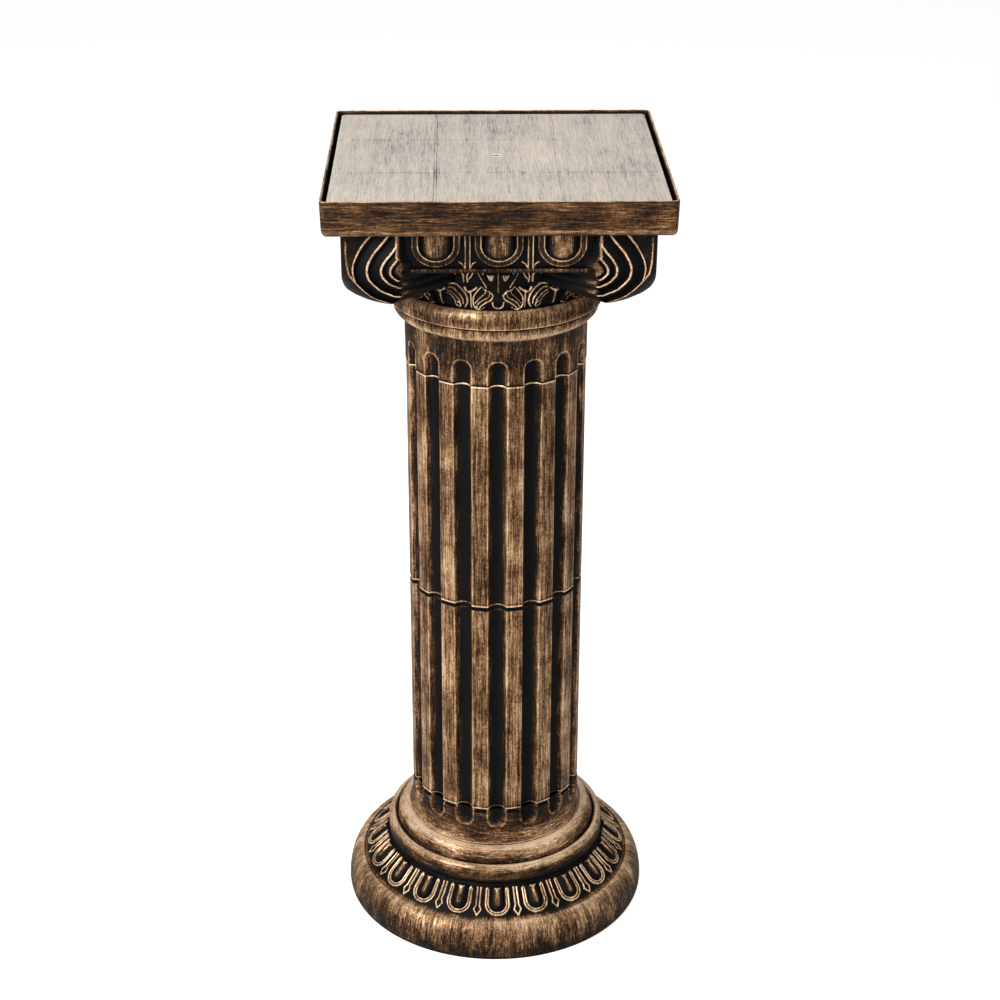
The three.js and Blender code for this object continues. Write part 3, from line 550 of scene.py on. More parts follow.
def base_moulding():
    """The foot with its torus, egg band and rings, the shaft's first collar and the ribbed web."""
    radius, height, wear, along, is_outside, angle = turned_grid(*base_outline(), 0.85, BASE_COLUMNS)

    # the egg band
    slope = np.array(BAND_OUTER) - np.array(BAND_INNER)
    band_length = np.linalg.norm(slope)
    out = np.array([-slope[1], slope[0]]) / band_length
    down = ((radius - BAND_INNER[0]) * slope[0] + (height - BAND_INNER[1]) * slope[1]) / band_length
    off = (radius - BAND_INNER[0]) * out[0] + (height - BAND_INNER[1]) * out[1]
    on_band = (np.abs(off) < 0.05) & (down > -0.01) & (down < band_length + 0.01)
    on_band &= is_outside
    tile = TURN / EGG_COUNT
    across = ((angle + TURN / 4 + tile / 2) % tile - tile / 2) * BAND_MIDDLE
    rise, level = base_carving(*np.broadcast_arrays(across, down))
    rise = rise * on_band
    grid_radius = radius + rise * out[0]
    grid_height = height + rise * out[1]
    # the brush caught the lower edge of the band
    ragged = 0.56 * smooth(down, band_length - 8, band_length)
    grid_wear = np.where(on_band, np.maximum(level, ragged), wear)

    # the collar's flutes
    flute_end = seam_base - FLUTE_END
    fluted = (height > flute_end - 1) & is_outside & (radius > SHAFT_RADIUS - REBATE_DEPTH - 0.1)
    grid_radius, grid_wear = flute_ends(fluted, grid_radius, height, angle, grid_wear, flute_end, -1, 0.56)

    # the brush ran across the torus, and around the rings above the eggs
    around = ((height > BAND_INNER[1] + 0.3) & is_outside)[..., None]
    grain = np.where(around, round_grain(angle, along, 9, 1.0), round_grain(angle, along, 120))
    shape = Shape()
    shape.add_grid(revolve_grid(grid_radius, grid_height, angle), grid_wear, grain)
    for i in range(RIB_COUNT):
        shape.add_box((HUB_RADIUS - 1, -RIB_WIDTH / 2, HUB_BOTTOM),
                      (101.5, RIB_WIDTH / 2, WEB_BOTTOM + 1), (i + 0.5) / RIB_COUNT * TURN)
    return shape


# ---- Shaft ----

def flute_section(landing, reach, fillet):
    """One pitch of a fluted wall about its flute: [x outwards, y aside, distance from the edge]."""
    # the fillet's circle touches the land from inside and the flute from outside
    far, near = landing - fillet, reach + fillet
    cx = (far ** 2 - near ** 2 + flute_axis ** 2) / (2 * flute_axis)
    cy = math.sqrt(far ** 2 - cx ** 2)
    on_land = math.atan2(cy, cx)
    on_flute = math.atan2(cy, cx - flute_axis)
    turn = np.linspace(-on_flute, -TURN + on_flute, 23)
    inside = np.stack([flute_axis + reach * np.cos(turn), reach * np.sin(turn)], 1)
    bend = np.linspace(on_flute - TURN / 2, on_land, 7)[1:]
    edge = np.stack([cx + fillet * np.cos(bend), cy + fillet * np.sin(bend)], 1)
    ends = np.linspace(on_land, TURN / FLUTE_COUNT / 2, 9)[1:]
    land = landing * np.stack([np.cos(ends), np.sin(ends)], 1)
    right = np.concatenate([edge, land])
    left = right[:-1][::-1] * [1, -1]
    section = np.concatenate([left, inside, right])
    across = np.abs(np.arctan2(section[:, 1], section[:, 0])) * landing - FLUTE_WIDTH / 2
    return np.column_stack([section, across])


def shaft_moulding(bottom, top, rebate, shoulder_wear):
    """A fluted length of the shaft, with its spigot and with a rebate below its upper seam."""
    low = bottom + SEAT_GAP
    collar = 9.0
    outer = flute_section(SHAFT_RADIUS, flute_arc, 1.3)
    inner = flute_section(SHAFT_RADIUS - SHELL_WALL, flute_arc + SHELL_WALL, 0.3)
    turns = np.arange(FLUTE_COUNT) * TURN / FLUTE_COUNT - TURN / 4
    aside = np.arctan2(outer[:, 1], outer[:, 0])
    reach = np.hypot(outer[:, 0], outer[:, 1])
    inner_reach = np.hypot(inner[:, 0], inner[:, 1])
    inner_aside = np.arctan2(inner[:, 1], inner[:, 0])
    distance = outer[:, 2]
    land = flute_wear(distance, 0.54 + 0 * distance, 0.66)
    lip = np.where(distance < 0, 0.55 + 0.3 * np.exp(distance / 2), 0.92)
    crown = np.maximum(land, shoulder_wear)
    sunk = np.minimum(reach, SHAFT_RADIUS - REBATE_DEPTH)
    shoulder = top - rebate
    stations = [(low, reach - 0.45, 0.5), (low + 0.15, reach - 0.1, lip), (low + 0.5, reach, lip),
                (low + 1.3, reach, lip), (low + 2.0, reach, 0.7 * land)]
    stations += [(height, reach, land) for height in np.linspace(low + 5, shoulder - 3, 34)]
    stations += [(shoulder - 1.6, reach, land), (shoulder - 0.9, reach, crown),
                 (shoulder - 0.25, reach - 0.02, crown), (shoulder, reach - 0.25, crown),
                 (shoulder + 0.15, sunk, 0.02), (top, sunk, 0.02), (top, spigot_radius, 0.0),
                 (top + spigot_length, spigot_radius, 0.0), (top + spigot_length, bore_radius, 0.0),
                 (top - collar, bore_radius, 0.0), (top - collar, inner_reach, 0.0),
                 (low, inner_reach, 0.0)]
    shape = Shape()
    radius = np.array([np.tile(there + 0 * aside, FLUTE_COUNT) for _, there, _ in stations])
    sides = [inner_aside if there is inner_reach else aside for _, there, _ in stations]
    angle = np.array([(turns[:, None] + side[None, :]).ravel() for side in sides])
    height = np.array([level for level, _, _ in stations])[:, None]
    wear = np.array([np.tile(amount + 0 * aside, FLUTE_COUNT) for _, _, amount in stations])
    shape.add_grid(revolve_grid(radius, height, angle), wear,
                   round_grain(angle, height, SHAFT_RADIUS, 0.035))
    return shape


# ---- Capital: neck, rings and carved drum ----

NECK_COLUMNS = 1440
NECK_FLUTE = 23.4  # how far the flutes run up into the neck
LEAF_MIDDLE = 97  # radius at which the leaves have their true width


def leaf_carving(across, up):
    """Acanthus relief of a quarter of the drum, mirrored about its middle, and its wear."""
    x, y = np.abs(across), up
    height = np.zeros(np.shape(x))
    wear = np.zeros(np.shape(x))

    def body(points, half_width, rise, level=0.1, taper=0.0):
        """A broad rounded form along a line, which the other forms are laid over."""
        nonlocal height, wear
        distance, along = line_distance(x, y, curve(points))
        width = half_width * (1 - taper * along)
        form = ridge(distance, width)
        height = np.maximum(height, rise * form)
        wear = np.maximum(wear, level * smooth(form, 0.6, 1))

    def vein(points, half_width=0.75, rise=1.0, level=0.95):
        """A thin bright ridge along a line, laid on what is there."""
        nonlocal height, wear
        distance, _ = line_distance(x, y, curve(points))
        form = ridge(distance, half_width)
        height = height + rise * form
        wear = np.maximum(wear, level * smooth(form, 0.3, 0.85))

    # the calyx in the middle, with an ear-like leaf to each side
    body([(0, 12), (2.5, 20), (4.5, 27), (5, 33)], 6.0, 3.0, 0.06)
    body([(9, 24), (13, 31), (16.5, 38), (18, 42)], 4.2, 2.4, 0.04, 0.55)
    vein([(10.8, 22.5), (13.6, 27.5), (17.2, 33), (18.9, 38.5), (18.4, 42.2), (16.2, 41), (13.5, 36)])
    vein([(0, 18.5), (0, 36.5)], 0.7, 0.9, 0.7)
    for place in (4.4, 6.2, 8.0, 9.8):
        vein([(6.2 + (place - 6.2) * 0.35, 30.2), (place, 34.6)], 0.8, 1.2, 0.95)
    # the small lip below it
    vein([(5.2, 8.2), (4.4, 4.4), (2.2, 2.6), (0, 2.2)], 0.9, 2.2, 0.95)
    # the inner striped leaf, from its top curl down to its tail
    body([(9.2, 19.5), (6.6, 14.8), (9.5, 10.2), (15.5, 7.4), (20.5, 4.5)], 5.4, 3.4, 0.15)
    vein([(15.2, 22.8), (12.4, 20.6), (8.2, 19.4), (4.4, 15.6)], 0.85, 1.6)
    vein([(4.4, 15.6), (6.2, 11.4), (11.2, 8.4), (15.6, 4.8), (17.6, 1.6)], 0.7, 1.0)
    vein([(7.4, 17.6), (9.2, 13.6), (14.4, 10.4), (18.4, 6.8), (19.6, 3)], 0.65, 1.0, 0.85)
    vein([(11.2, 18.8), (13.2, 15.4), (17.6, 11.6), (20.8, 7.6)], 0.65, 1.0, 0.85)
    vein([(15.2, 22.8), (19.6, 18), (23, 12.4), (22.6, 6.6), (19.4, 2.4), (15.2, 1.2), (12.8, 3.4)],
         0.8, 1.4)
    # the cup between the two striped leaves
    body([(25.4, 6), (25.6, 13), (26.6, 19)], 2.6, 2.2, 0.05)
    vein([(20.2, 21.6), (24, 18.8), (29.2, 18.2), (31.6, 21)], 1.2, 2.2, 1.0)
    vein([(25.4, 17), (25, 10.4), (24.6, 3)], 0.85, 1.3, 0.75)
    # the outer striped leaf
    body([(45.6, 21), (41, 17), (36, 12.6), (33.4, 7.6)], 6.2, 3.2, 0.12)
    vein([(46.8, 23.6), (41.4, 24.4), (35.6, 20.6), (30.2, 14.6), (28.4, 8), (30.8, 2.6)], 0.8, 1.4)
    vein([(47.6, 20), (42.6, 20.4), (37.2, 16.4), (33, 11), (32, 6.2)], 0.65, 1.0, 0.85)
    vein([(48.6, 16.6), (44.2, 16.2), (39.4, 12.6), (35.6, 8.4)], 0.65, 1.0, 0.85)
    vein([(50.4, 14), (46, 12.2), (42.2, 8.6), (40.6, 5)], 0.75, 1.2, 0.85)
    vein([(40.6, 5), (38.2, 2.2), (35, 3.4), (35.4, 6.8), (38.4, 7.2)], 0.8, 1.5)
    # leaf tips above them
    body([(33, 25), (35, 32), (33, 38)], 3.4, 2.2, 0.05, 0.4)
    vein([(28.6, 26.5), (29.2, 32.5), (25.4, 38), (23, 37.6), (24.4, 33.6), (27.4, 29.4)], 0.8, 1.4)
    vein([(31.8, 27.4), (32.6, 34), (35.8, 40.2), (39.6, 39), (41, 33)], 0.8, 1.4, 0.8)
    # the outer cup, and the curl at the corner
    body([(56, 5), (56.4, 12), (57.6, 16)], 2.8, 2.2, 0.05)
    vein([(51.6, 18), (55.6, 15.4), (60.4, 15.8), (62.6, 17.8)], 1.2, 2.2, 1.0)
    vein([(56.2, 14), (55, 8), (53.6, 2.6)], 0.85, 1.3, 0.75)
    body([(66, 4), (70, 9), (75, 10)], 4.6, 3.2, 0.08)
    vein([(62.6, 3), (66, 1.4), (71.4, 2.6), (73.8, 7), (71, 10.6), (67.2, 9)], 0.85, 1.5, 0.8)
    return height, wear


def neck_moulding():
    """The capital's round part: the fluted neck, its flare and ring, and the carved drum."""
    low = seam_capital + SEAT_GAP
    neck = 87.6
    flare = seam_capital + 43.7
    groove = flare + 14.6
    ring_middle = groove + 8.7
    ring_top = groove + 18.7
    ledge_bottom = tray_bottom - 39.7
    drum_radius, drum_top_radius, ring_reach, ring_back = 93.4, 96.5, 102.4, 96.6
    outline = np.concatenate([
        run([(socket_radius, low), (neck - 0.5, low)], 0.3),
        run([(neck - 0.1, low + 0.15), (neck, low + 0.5), (neck, low + 1.2)], 0.3),
        run([(neck, low + 2)], 0.38),
        run([(neck, low + 24)], 0.38),
        run([(neck, flare - 1.2)], 0.36),
        run([(neck + 0.3, flare + 0.1), (90.8, flare + 1.6), (93.6, flare + 3.2), (95.6, flare + 4.7)],
            (0.4, 0.9)),
        run([(96.7, flare + 6.0), (97.6, flare + 7.6), (98.1, flare + 9.6), (98.0, flare + 11.6),
             (97.6, flare + 13.4)], (0.75, 0.45)),
        run([(97.1, groove - 0.2), (97.0, groove + 0.4)], (0.15, 0.03)),
        run([(98.8, groove + 0.9), (100.5, groove + 1.4), (101.4, groove + 2.1)], (0.2, 0.9)),
        run([(101.8, groove + 3.2), (102.2, groove + 5.2), (ring_reach, ring_middle)], (0.54, 0.43)),
        run(arc((ring_back, ring_middle), (ring_reach - ring_back, ring_top - ring_middle),
                0, 0.24, 12)[1:], (0.45, 0.8)),
        run([(ring_back - 0.7, ring_top + 0.1), (ring_back - 2, ring_top + 0.5)], (0.6, 0.03)),
        run([(drum_radius, ring_top + 1.5), (drum_radius, ring_top + 20)], 0.0),
        run([(drum_top_radius, ledge_bottom), (drum_top_radius, ledge_bottom + 8)], 0.0),
    ])
    inside = run([(socket_radius, ledge_bottom + 8)], 0.0)
    radius, height, wear, along, is_outside, angle = turned_grid(outline, inside, 0.8, NECK_COLUMNS)

    flute_end = seam_capital + NECK_FLUTE
    fluted = (height < flute_end + 1) & is_outside
    fluted[:2] = False
    grid_radius, grid_wear = flute_ends(fluted, radius, height, angle, wear, flute_end, 1, 0.68)

    quarter = TURN / 4
    across = ((angle + quarter / 2) % quarter - quarter / 2) * LEAF_MIDDLE
    carved = (height > ring_top + 1.4) & (height < ledge_bottom) & is_outside
    rise, level = leaf_carving(*np.broadcast_arrays(across, height - ring_top))
    grid_radius = grid_radius + np.where(carved, rise, 0)
    grid_wear = np.where(carved, level, grid_wear)

    shape = Shape()
    shape.add_grid(revolve_grid(grid_radius, height, angle), grid_wear, round_grain(angle, along, 92))
    return shape


# ---- Capital: block of eggs and darts ----

BLOCK_REACH = 135.0
BLOCK_DRAFT = 6.0
BLOCK_HALF = 90.0
BLOCK_DEPTH = 35.7
EGG_PITCH = 55.6


def block_carving(across, down):
    """Relief of the block's face and its wear. down runs from the tray."""
    place = (across + EGG_PITCH / 2) % EGG_PITCH - EGG_PITCH / 2
    place = np.where(np.abs(across) > 1.5 * EGG_PITCH, np.abs(across) - EGG_PITCH, place)
    inner, outer = 15.25, 21.7
    bend = 34.2 - outer
    ring = np.hypot(place, np.maximum(down - bend, 0))
    band = smooth(ring, inner - 0.25, inner + 0.35) * (1 - smooth(ring, outer - 0.35, outer + 0.25))
    edge_in = ridge(ring - inner - 0.75, 0.8)
    edge_out = ridge(ring - outer + 0.75, 0.8)
    egg_half, egg_bend, egg_bottom = 13.5, 15.1, 28.6
    egg_ring = np.hypot(place / egg_half, np.maximum(down - egg_bend, 0) / (egg_bottom - egg_bend))
    egg = np.sqrt(np.maximum(1 - egg_ring ** 2, 0))

    between = np.abs(np.abs(across) - EGG_PITCH / 2)
    dart_on = (np.abs(across) < EGG_PITCH) * 1.0
    bar = (1 - smooth(between, 2.6, 3.0)) * dart_on
    bar_edge = ridge(between - 2.2, 0.75) * dart_on
    foot, _ = line_distance(between, down, [(3.2, 34.5), (4.2, 31.8), (7.4, 29.6)])
    foot = ridge(foot, 0.9) * dart_on

    height = np.maximum.reduce([3.0 * band + 0.45 * np.maximum(edge_in, edge_out) * band,
                                8.0 * egg, 1.7 * bar + 0.5 * bar_edge, 1.6 * foot])
    wear = np.maximum.reduce([0.24 * band, 0.8 * smooth(edge_in, 0.3, 0.85) * band,
                              0.55 * smooth(edge_out, 0.3, 0.85) * band,
                              0.5 * smooth(egg, 0.5, 0.85), 0.14 * bar,
                              0.72 * smooth(bar_edge, 0.3, 0.8), 0.7 * smooth(foot, 0.3, 0.8)])
    return height, wear


def block_moulding():
    """One face of the block with its ledge, swept round its ends."""
    corner, wall = 11.0, 3.2
    ledge_half, ledge_rise, ledge_height = 83.0, 3.0, 4.0
    flat = BLOCK_HALF - corner
    end = arc((flat, 0), (corner, corner), 0, 0.25, 10)
    straight = np.linspace(-flat, flat, 260)
    # plan from the left end round to the right: x, place over the corners' centres, and how far
    # the outward direction has turned
    plan = [(-p[0], p[1], -t) for p, t in zip(end, np.linspace(0.25, 0, 11))]
    plan += [(x, corner, 0.0) for x in straight[1:-1]]
    plan += [(p[0], p[1], t) for p, t in zip(end[::-1], np.linspace(0, 0.25, 11))]
    plan = np.array(plan)
    x, back, turn = plan[:, 0], corner - plan[:, 1], plan[:, 2] * TURN

    depths = np.concatenate([np.linspace(0, BLOCK_DEPTH - 0.4, 64), [BLOCK_DEPTH]])
    lean = BLOCK_DRAFT * depths / BLOCK_DEPTH
    rise, level = block_carving(x[:, None] + 0 * depths, depths[None, :] + 0 * x[:, None])
    straight_part = 1 - smooth(np.abs(x), flat - 1, flat + 4)[:, None]
    level = level * straight_part
    offset = rise * straight_part - lean[None, :]
    ledge = 1 - smooth(np.abs(x), ledge_half - 1.5, ledge_half)[:, None]
    ledge_bottom = BLOCK_DEPTH + ledge_height * ledge + 0.1 * (1 - ledge)
    # offset outwards, depth below the tray and wear of each row below the carving
    stations = [(-BLOCK_DRAFT + ledge_rise * ledge * 0.8, BLOCK_DEPTH + 0.05, 0.2),
                (-BLOCK_DRAFT + ledge_rise * ledge, BLOCK_DEPTH + 0.7, 0.38),
                (-BLOCK_DRAFT + ledge_rise * ledge, BLOCK_DEPTH + ledge_height - 0.6, 0.26),
                (-BLOCK_DRAFT + (ledge_rise - 0.6) * ledge, ledge_bottom, 0.15),
                (-BLOCK_DRAFT - 7, ledge_bottom, 0.0),
                (-BLOCK_DRAFT - 7, BLOCK_DEPTH - wall, 0.0),
                (-wall - 4, 0, 0.0)]
    carved = (offset, depths + 0 * ledge, level)
    offsets, heights, wears = (np.concatenate([carved[k]] + [s[k] + 0 * ledge for s in stations], 1)
                               for k in range(3))
    # where there is no ledge, its stations close up on the block's lower edge
    heights = np.where((heights > BLOCK_DEPTH) & (ledge < 0.01),
                       BLOCK_DEPTH + 0.002 * (heights - BLOCK_DEPTH), heights)
    out_x, out_y = np.sin(turn)[:, None], -np.cos(turn)[:, None]
    points = np.stack([x[:, None] + offsets * out_x,
                       -(BLOCK_REACH - back[:, None]) + offsets * out_y,
                       capital_top - heights + 0 * out_x], -1)
    grain = np.stack([x[:, None] + 0 * heights, 0 * heights, 0.06 * heights], -1)
    face = Shape()
    face.add_grid(points, wears, grain, wrap_rows=False)
    return on_four_sides(face)


# ---- Capital: volutes ----

VOLUTE_REACH = 138.8
VOLUTE_HALF = 34.9
VOLUTE_DEPTH = 69.7
VOLUTE_START = 56.0
LEAN = 9.0
LEAN_DEPTH = 43.0
EYE = (84.0, 36.7)  # along a face, and below the tray
TURN_SCALES = (1.0, 0.716, 0.44, 0.262)
LIP_POINTS = [(8, 62), (22, 41.5), (38, 21), (45, 2), (38, -18.5), (22, -30.5), (4, -33.5)]
PROW_POINTS = [(36.5, 0), (31, 3.1), (26, 5.5), (19.8, 9.6), (13.4, 16.1), (7.4, 24.1), (4.2, 30.1),
               (2.8, 40.1), (1.6, 71.7)]
LIP_REACH = 45  # how far the lip curve swings out from the eye
ROLL_POINTS = [(13, 0), (7, 2.6), (-4, 2.6), (-9.6, 0), (-13.5, 1.3), (-17, 0.9), (-19.2, -1.7),
               (-22.5, -0.5), (-27.5, -3.8), (-33.0, -11.0)]
# height over the eye, half height and size of the rolls' own roundness, and of the paint on them
ROLL_LOBES = ((1.5, 11.0, 0.27), (-14, 4, 0.15), (-22.5, 3.2, 0.15))
ROLL_PAINT = ((4, 4, 0.3), (-12, 2.6, 0.6), (-21.3, 2.4, 0.66))
ROLL_FADE = 15.0  # how fast the paint on the rolls fades towards the block
DIAGONAL = np.array([1, -1, 0]) / math.sqrt(2)
volute_bottom = tray_bottom - VOLUTE_DEPTH
eye_height = tray_bottom - EYE[1]


def face_reach(height):
    """How far out a face stands at a height."""
    start = tray_bottom - LEAN_DEPTH
    below = np.maximum(0, start - height) / (VOLUTE_DEPTH - LEAN_DEPTH)
    return VOLUTE_REACH - LEAN * below ** 2


def half_width(height):
    """Half the volute's width across its diagonal, with its rolls."""
    ups, bulges = np.array(ROLL_POINTS[::-1]).T
    up = height - eye_height
    bulge = np.interp(up, ups, bulges)
    lobes = sum(size * ridge(up - place, spread) for place, spread, size in ROLL_LOBES)
    return VOLUTE_HALF + bulge + lobes


def prow_setback(height):
    """How far the prow between two faces is cut back along the diagonal."""
    setbacks, ups = np.array(PROW_POINTS).T
    return np.interp(height - volute_bottom, ups, setbacks)


def inner_edge(height):
    """Where a face's inner edge lies along the face."""
    return face_reach(height) - math.sqrt(2) * half_width(height)


def outer_edge(height):
    """Where the cut-back prow ends a face, along the face."""
    reach = face_reach(height)
    return np.maximum(2 * VOLUTE_REACH - math.sqrt(2) * prow_setback(height) - reach,
                      inner_edge(height) + 0.2)


def volute_face(scales, columns):
    """Points (along, up, scale) of a face: rows are the lip curve at falling scales about the eye,
    each drawn only where it lies on the face."""
    lowest = volute_bottom + 0.4
    lips = curve(LIP_POINTS, 40)
    edge = outer_edge(np.maximum(lips[:, 1] + eye_height, volute_bottom)) - 0.7 - EYE[0]
    lips[:, 0] = np.minimum(lips[:, 0], edge)
    points = np.zeros((len(scales), columns, 3))
    heights = np.linspace(lowest, capital_top, 500)
    border = np.stack([np.maximum(outer_edge(heights), inner_edge(heights) + 0.3), heights], 1)

    def on_face(along, up):
        return ((along >= inner_edge(up)) & (along <= outer_edge(up))
                & (up >= lowest) & (up <= capital_top))

    def crossing(out, within):
        """Where a line from a point off the face to one on it comes onto the face."""
        for _ in range(24):
            middle = (out + within) / 2
            out, within = (out, middle) if on_face(*middle) else (middle, within)
        return within

    for i, scale in enumerate(scales):
        line = lips * min(scale, 1.0) + [EYE[0], eye_height]
        kept = np.nonzero(on_face(*line.T))[0]
        first, last = kept[0], kept[-1]
        start = crossing(line[max(first - 1, 0)], line[first])
        end = crossing(line[min(last + 1, len(line) - 1)], line[last])
        row = resample(np.concatenate([[start], line[first:last + 1], [end]]), columns)
        if scale > 1:
            share = (scale - 1) / (scales[0] - 1)
            row = row + (resample(border[::-1], columns) - row) * share
        points[i, :, :2] = row
        points[i, :, 2] = scale
    return points


def volute_relief(scale):
    """How far a face stands back at each scale, and its wear: lips with channels between them."""
    lip = 0.95 / LIP_REACH
    depth = np.zeros(np.shape(scale))
    wear = np.zeros(np.shape(scale))
    edges = list(TURN_SCALES) + [0.12]
    for outer, inner in zip(edges[:-1], edges[1:]):
        width = outer - inner
        deep = outer - lip - 0.13 * width
        floor = 3.8 * min(1, width / 0.25)
        drop = smooth(-scale, -(outer - lip * 0.9), -deep)
        climb = np.clip((deep - scale) / max(deep - inner - lip, 1e-6), 0, 1) ** 1.7
        here = (scale < outer) & (scale >= inner)
        depth = np.where(here, floor * drop * (1 - climb), depth)
        wear = np.where(here, 0.14 * climb ** 3, wear)
    for edge in TURN_SCALES:
        form = ridge((scale - edge) * LIP_REACH, 1.15)
        depth = depth - 0.5 * form
        wear = np.maximum(wear, 0.88 * smooth(form, 0.2, 0.8))
    wear = np.maximum(wear, 0.42 * (1 - smooth(scale, 0.15, 0.2)))
    return depth, wear


def volute_front():
    """The front of a volute on the +X -Y diagonal: two carved faces with the prow between them.
    Gives its grid of points with each one's wear and grain."""
    outer_rows = np.concatenate([np.linspace(1.34, 1.05, 12), [1.035, 1.02, 1.01]])
    rows = np.concatenate([outer_rows, np.linspace(1.0, 0.06, 150)])
    columns = 90
    grid = volute_face(rows, columns)
    along, up, scale = (grid[..., k] for k in range(3))
    depth, wear = volute_relief(scale)
    # the land beyond the outer lip, with a bright rim along the prow
    share = np.clip((scale - 1) / (rows[0] - 1), 0, 1)
    edge_near = inner_fade(along, up)
    rim = np.linalg.norm(grid[..., :2] - grid[0:1, :, :2], axis=-1)
    lower = smooth(-(up - eye_height), 8, 20)
    wear = np.where(scale > 1.03, np.maximum(0.22 * (1 - lower), 0.95 * ridge(rim - 0.9, 0.9)), wear)
    flank_line = ridge(along - inner_edge(up) - 0.5, 1.1) * smooth(up - eye_height, 7, 12)
    wear = np.maximum(wear, 0.85 * flank_line)
    depth = np.where(scale > 1.03, 1.0 * smooth(scale, 1.0, 1.06) * (share < 0.85), depth)
    reach = face_reach(up) - depth * edge_near
    front = np.stack([along, -reach, up], -1)
    side = np.stack([reach, -along, up], -1)

    prow_steps = 5
    mix = np.linspace(0, 1, prow_steps + 2)[1:-1, None, None]
    prow = front[0][None] * (1 - mix) + side[0][None] * mix
    gap = np.linalg.norm(front[0] - side[0], axis=1)[None, :]
    push = 0.1 * gap * np.sin(np.pi * mix[..., 0])
    prow = prow + push[..., None] * DIAGONAL
    surface = np.concatenate([front[::-1], prow, side])
    surface_wear = np.concatenate([wear[::-1], np.full((prow_steps, columns), 0.12), wear])
    across_lips = LIP_REACH * np.concatenate([scale[::-1], np.zeros((prow_steps, columns)), scale])
    grain = np.stack([0.12 * surface[..., 0], across_lips, surface[..., 2]], -1)

    return surface, surface_wear, grain


def volute():
    """One volute: its front, and the flanks drawn straight back from the front's border."""
    surface, surface_wear, grain = volute_front()
    points, wears, grains = [surface.reshape(-1, 3)], [surface_wear.ravel()], [grain.reshape(-1, 3)]
    rows_total, columns = surface.shape[:2]
    loop = ([(i, 0) for i in range(rows_total)]
            + [(rows_total - 1, j) for j in range(1, columns)]
            + [(i, columns - 1) for i in range(rows_total - 2, -1, -1)]
            + [(0, j) for j in range(columns - 2, 0, -1)])
    ring = np.array([i * columns + j for i, j in loop])
    border = surface.reshape(-1, 3)[ring]
    reach_out = border @ DIAGONAL
    over_eye = border[:, 2] - eye_height
    tops = sum(level * np.exp(-((over_eye - place) / spread) ** 2) for place, spread, level in ROLL_PAINT)
    steps = 26
    faces = grid_quads(rows_total, columns, False, False)
    start = rows_total * columns
    for k in range(1, steps + 1):
        pull = (VOLUTE_START - reach_out) * k / steps
        layer = border + pull[:, None] * DIAGONAL
        points.append(layer)
        wears.append(tops * np.exp(-(pull / ROLL_FADE) ** 2))
        grains.append(layer * [0.12, 0.12, 1])
        following = np.arange(len(ring)) + start + (k - 1) * len(ring)
        faces += np.stack([ring, following, np.roll(following, -1), np.roll(ring, -1)], 1).tolist()
        ring = following
    faces.append(ring.tolist())
    shape = Shape()
    shape.add(np.concatenate(points), faces, np.concatenate(wears), np.concatenate(grains))
    return shape


def inner_fade(along, up):
    """1 on a face and 0 at its very border, so that the relief meets the flanks and the top."""
    inner = along - inner_edge(up)
    return smooth(inner, -0.1, 0.8) * smooth(capital_top - up, -0.1, 0.6)


def deck_moulding():
    """The capital's hidden top plate, with its hub and the pegs that locate the tray."""
    half, thickness = 122.0, 3.5
    hub_height = 9.0
    peg_place, peg_radius, peg_height = 76.0, 5.0, 6.0
    shape = Shape()
    low = capital_top - thickness
    plan = square_path(half, 4, 6, 3)
    angle = np.arctan2(plan[:, 1], plan[:, 0])
    circle = np.stack([np.cos(angle), np.sin(angle)], 1)
    rings = [(plan, capital_top), (plan, low), (circle * HUB_RADIUS, low),
             (circle * HUB_RADIUS, low - hub_height), (circle * ROD_HOLE, low - hub_height),
             (circle * ROD_HOLE, capital_top)]
    points = np.array([np.column_stack([ring, np.full(len(ring), z)]) for ring, z in rings])
    shape.add_grid(points, 0.0, points * 0)
    for sx, sy in ((1, 1), (-1, 1), (-1, -1), (1, -1)):
        turn = np.linspace(0, TURN, 24, endpoint=False)
        rows = [(peg_radius, capital_top - 1), (peg_radius, capital_top + peg_height - 1),
                (peg_radius - 1, capital_top + peg_height)]
        peg = np.array([np.stack([sx * peg_place + r * np.cos(turn), sy * peg_place
                                  + r * np.sin(turn), z + 0 * turn], 1) for r, z in rows])
        shape.add_grid(peg, 0.0, peg * 0, wrap_rows=False)
    return shape


# ---- Tray and panel ----

def square_path(half, radius, corner_steps, side_steps):
    """Plan of a rounded square, anticlockwise from the +X side, with points along its sides."""
    middle = half - radius
    points = []
    for i, (sx, sy) in enumerate(((1, 1), (-1, 1), (-1, -1), (1, -1))):
        bend = arc((sx * middle, sy * middle), (radius, radius), i / 4, (i + 1) / 4, corner_steps)
        points.append(bend)
        nx, ny = ((-1, 1), (-1, -1), (1, -1), (1, 1))[i]
        end = arc((nx * middle, ny * middle), (radius, radius), (i + 1) / 4, (i + 2) / 4, 1)[0]
        share = np.arange(1, side_steps)[:, None] / side_steps
        points.append(bend[-1] + (end - bend[-1]) * share)
    return np.concatenate(points)


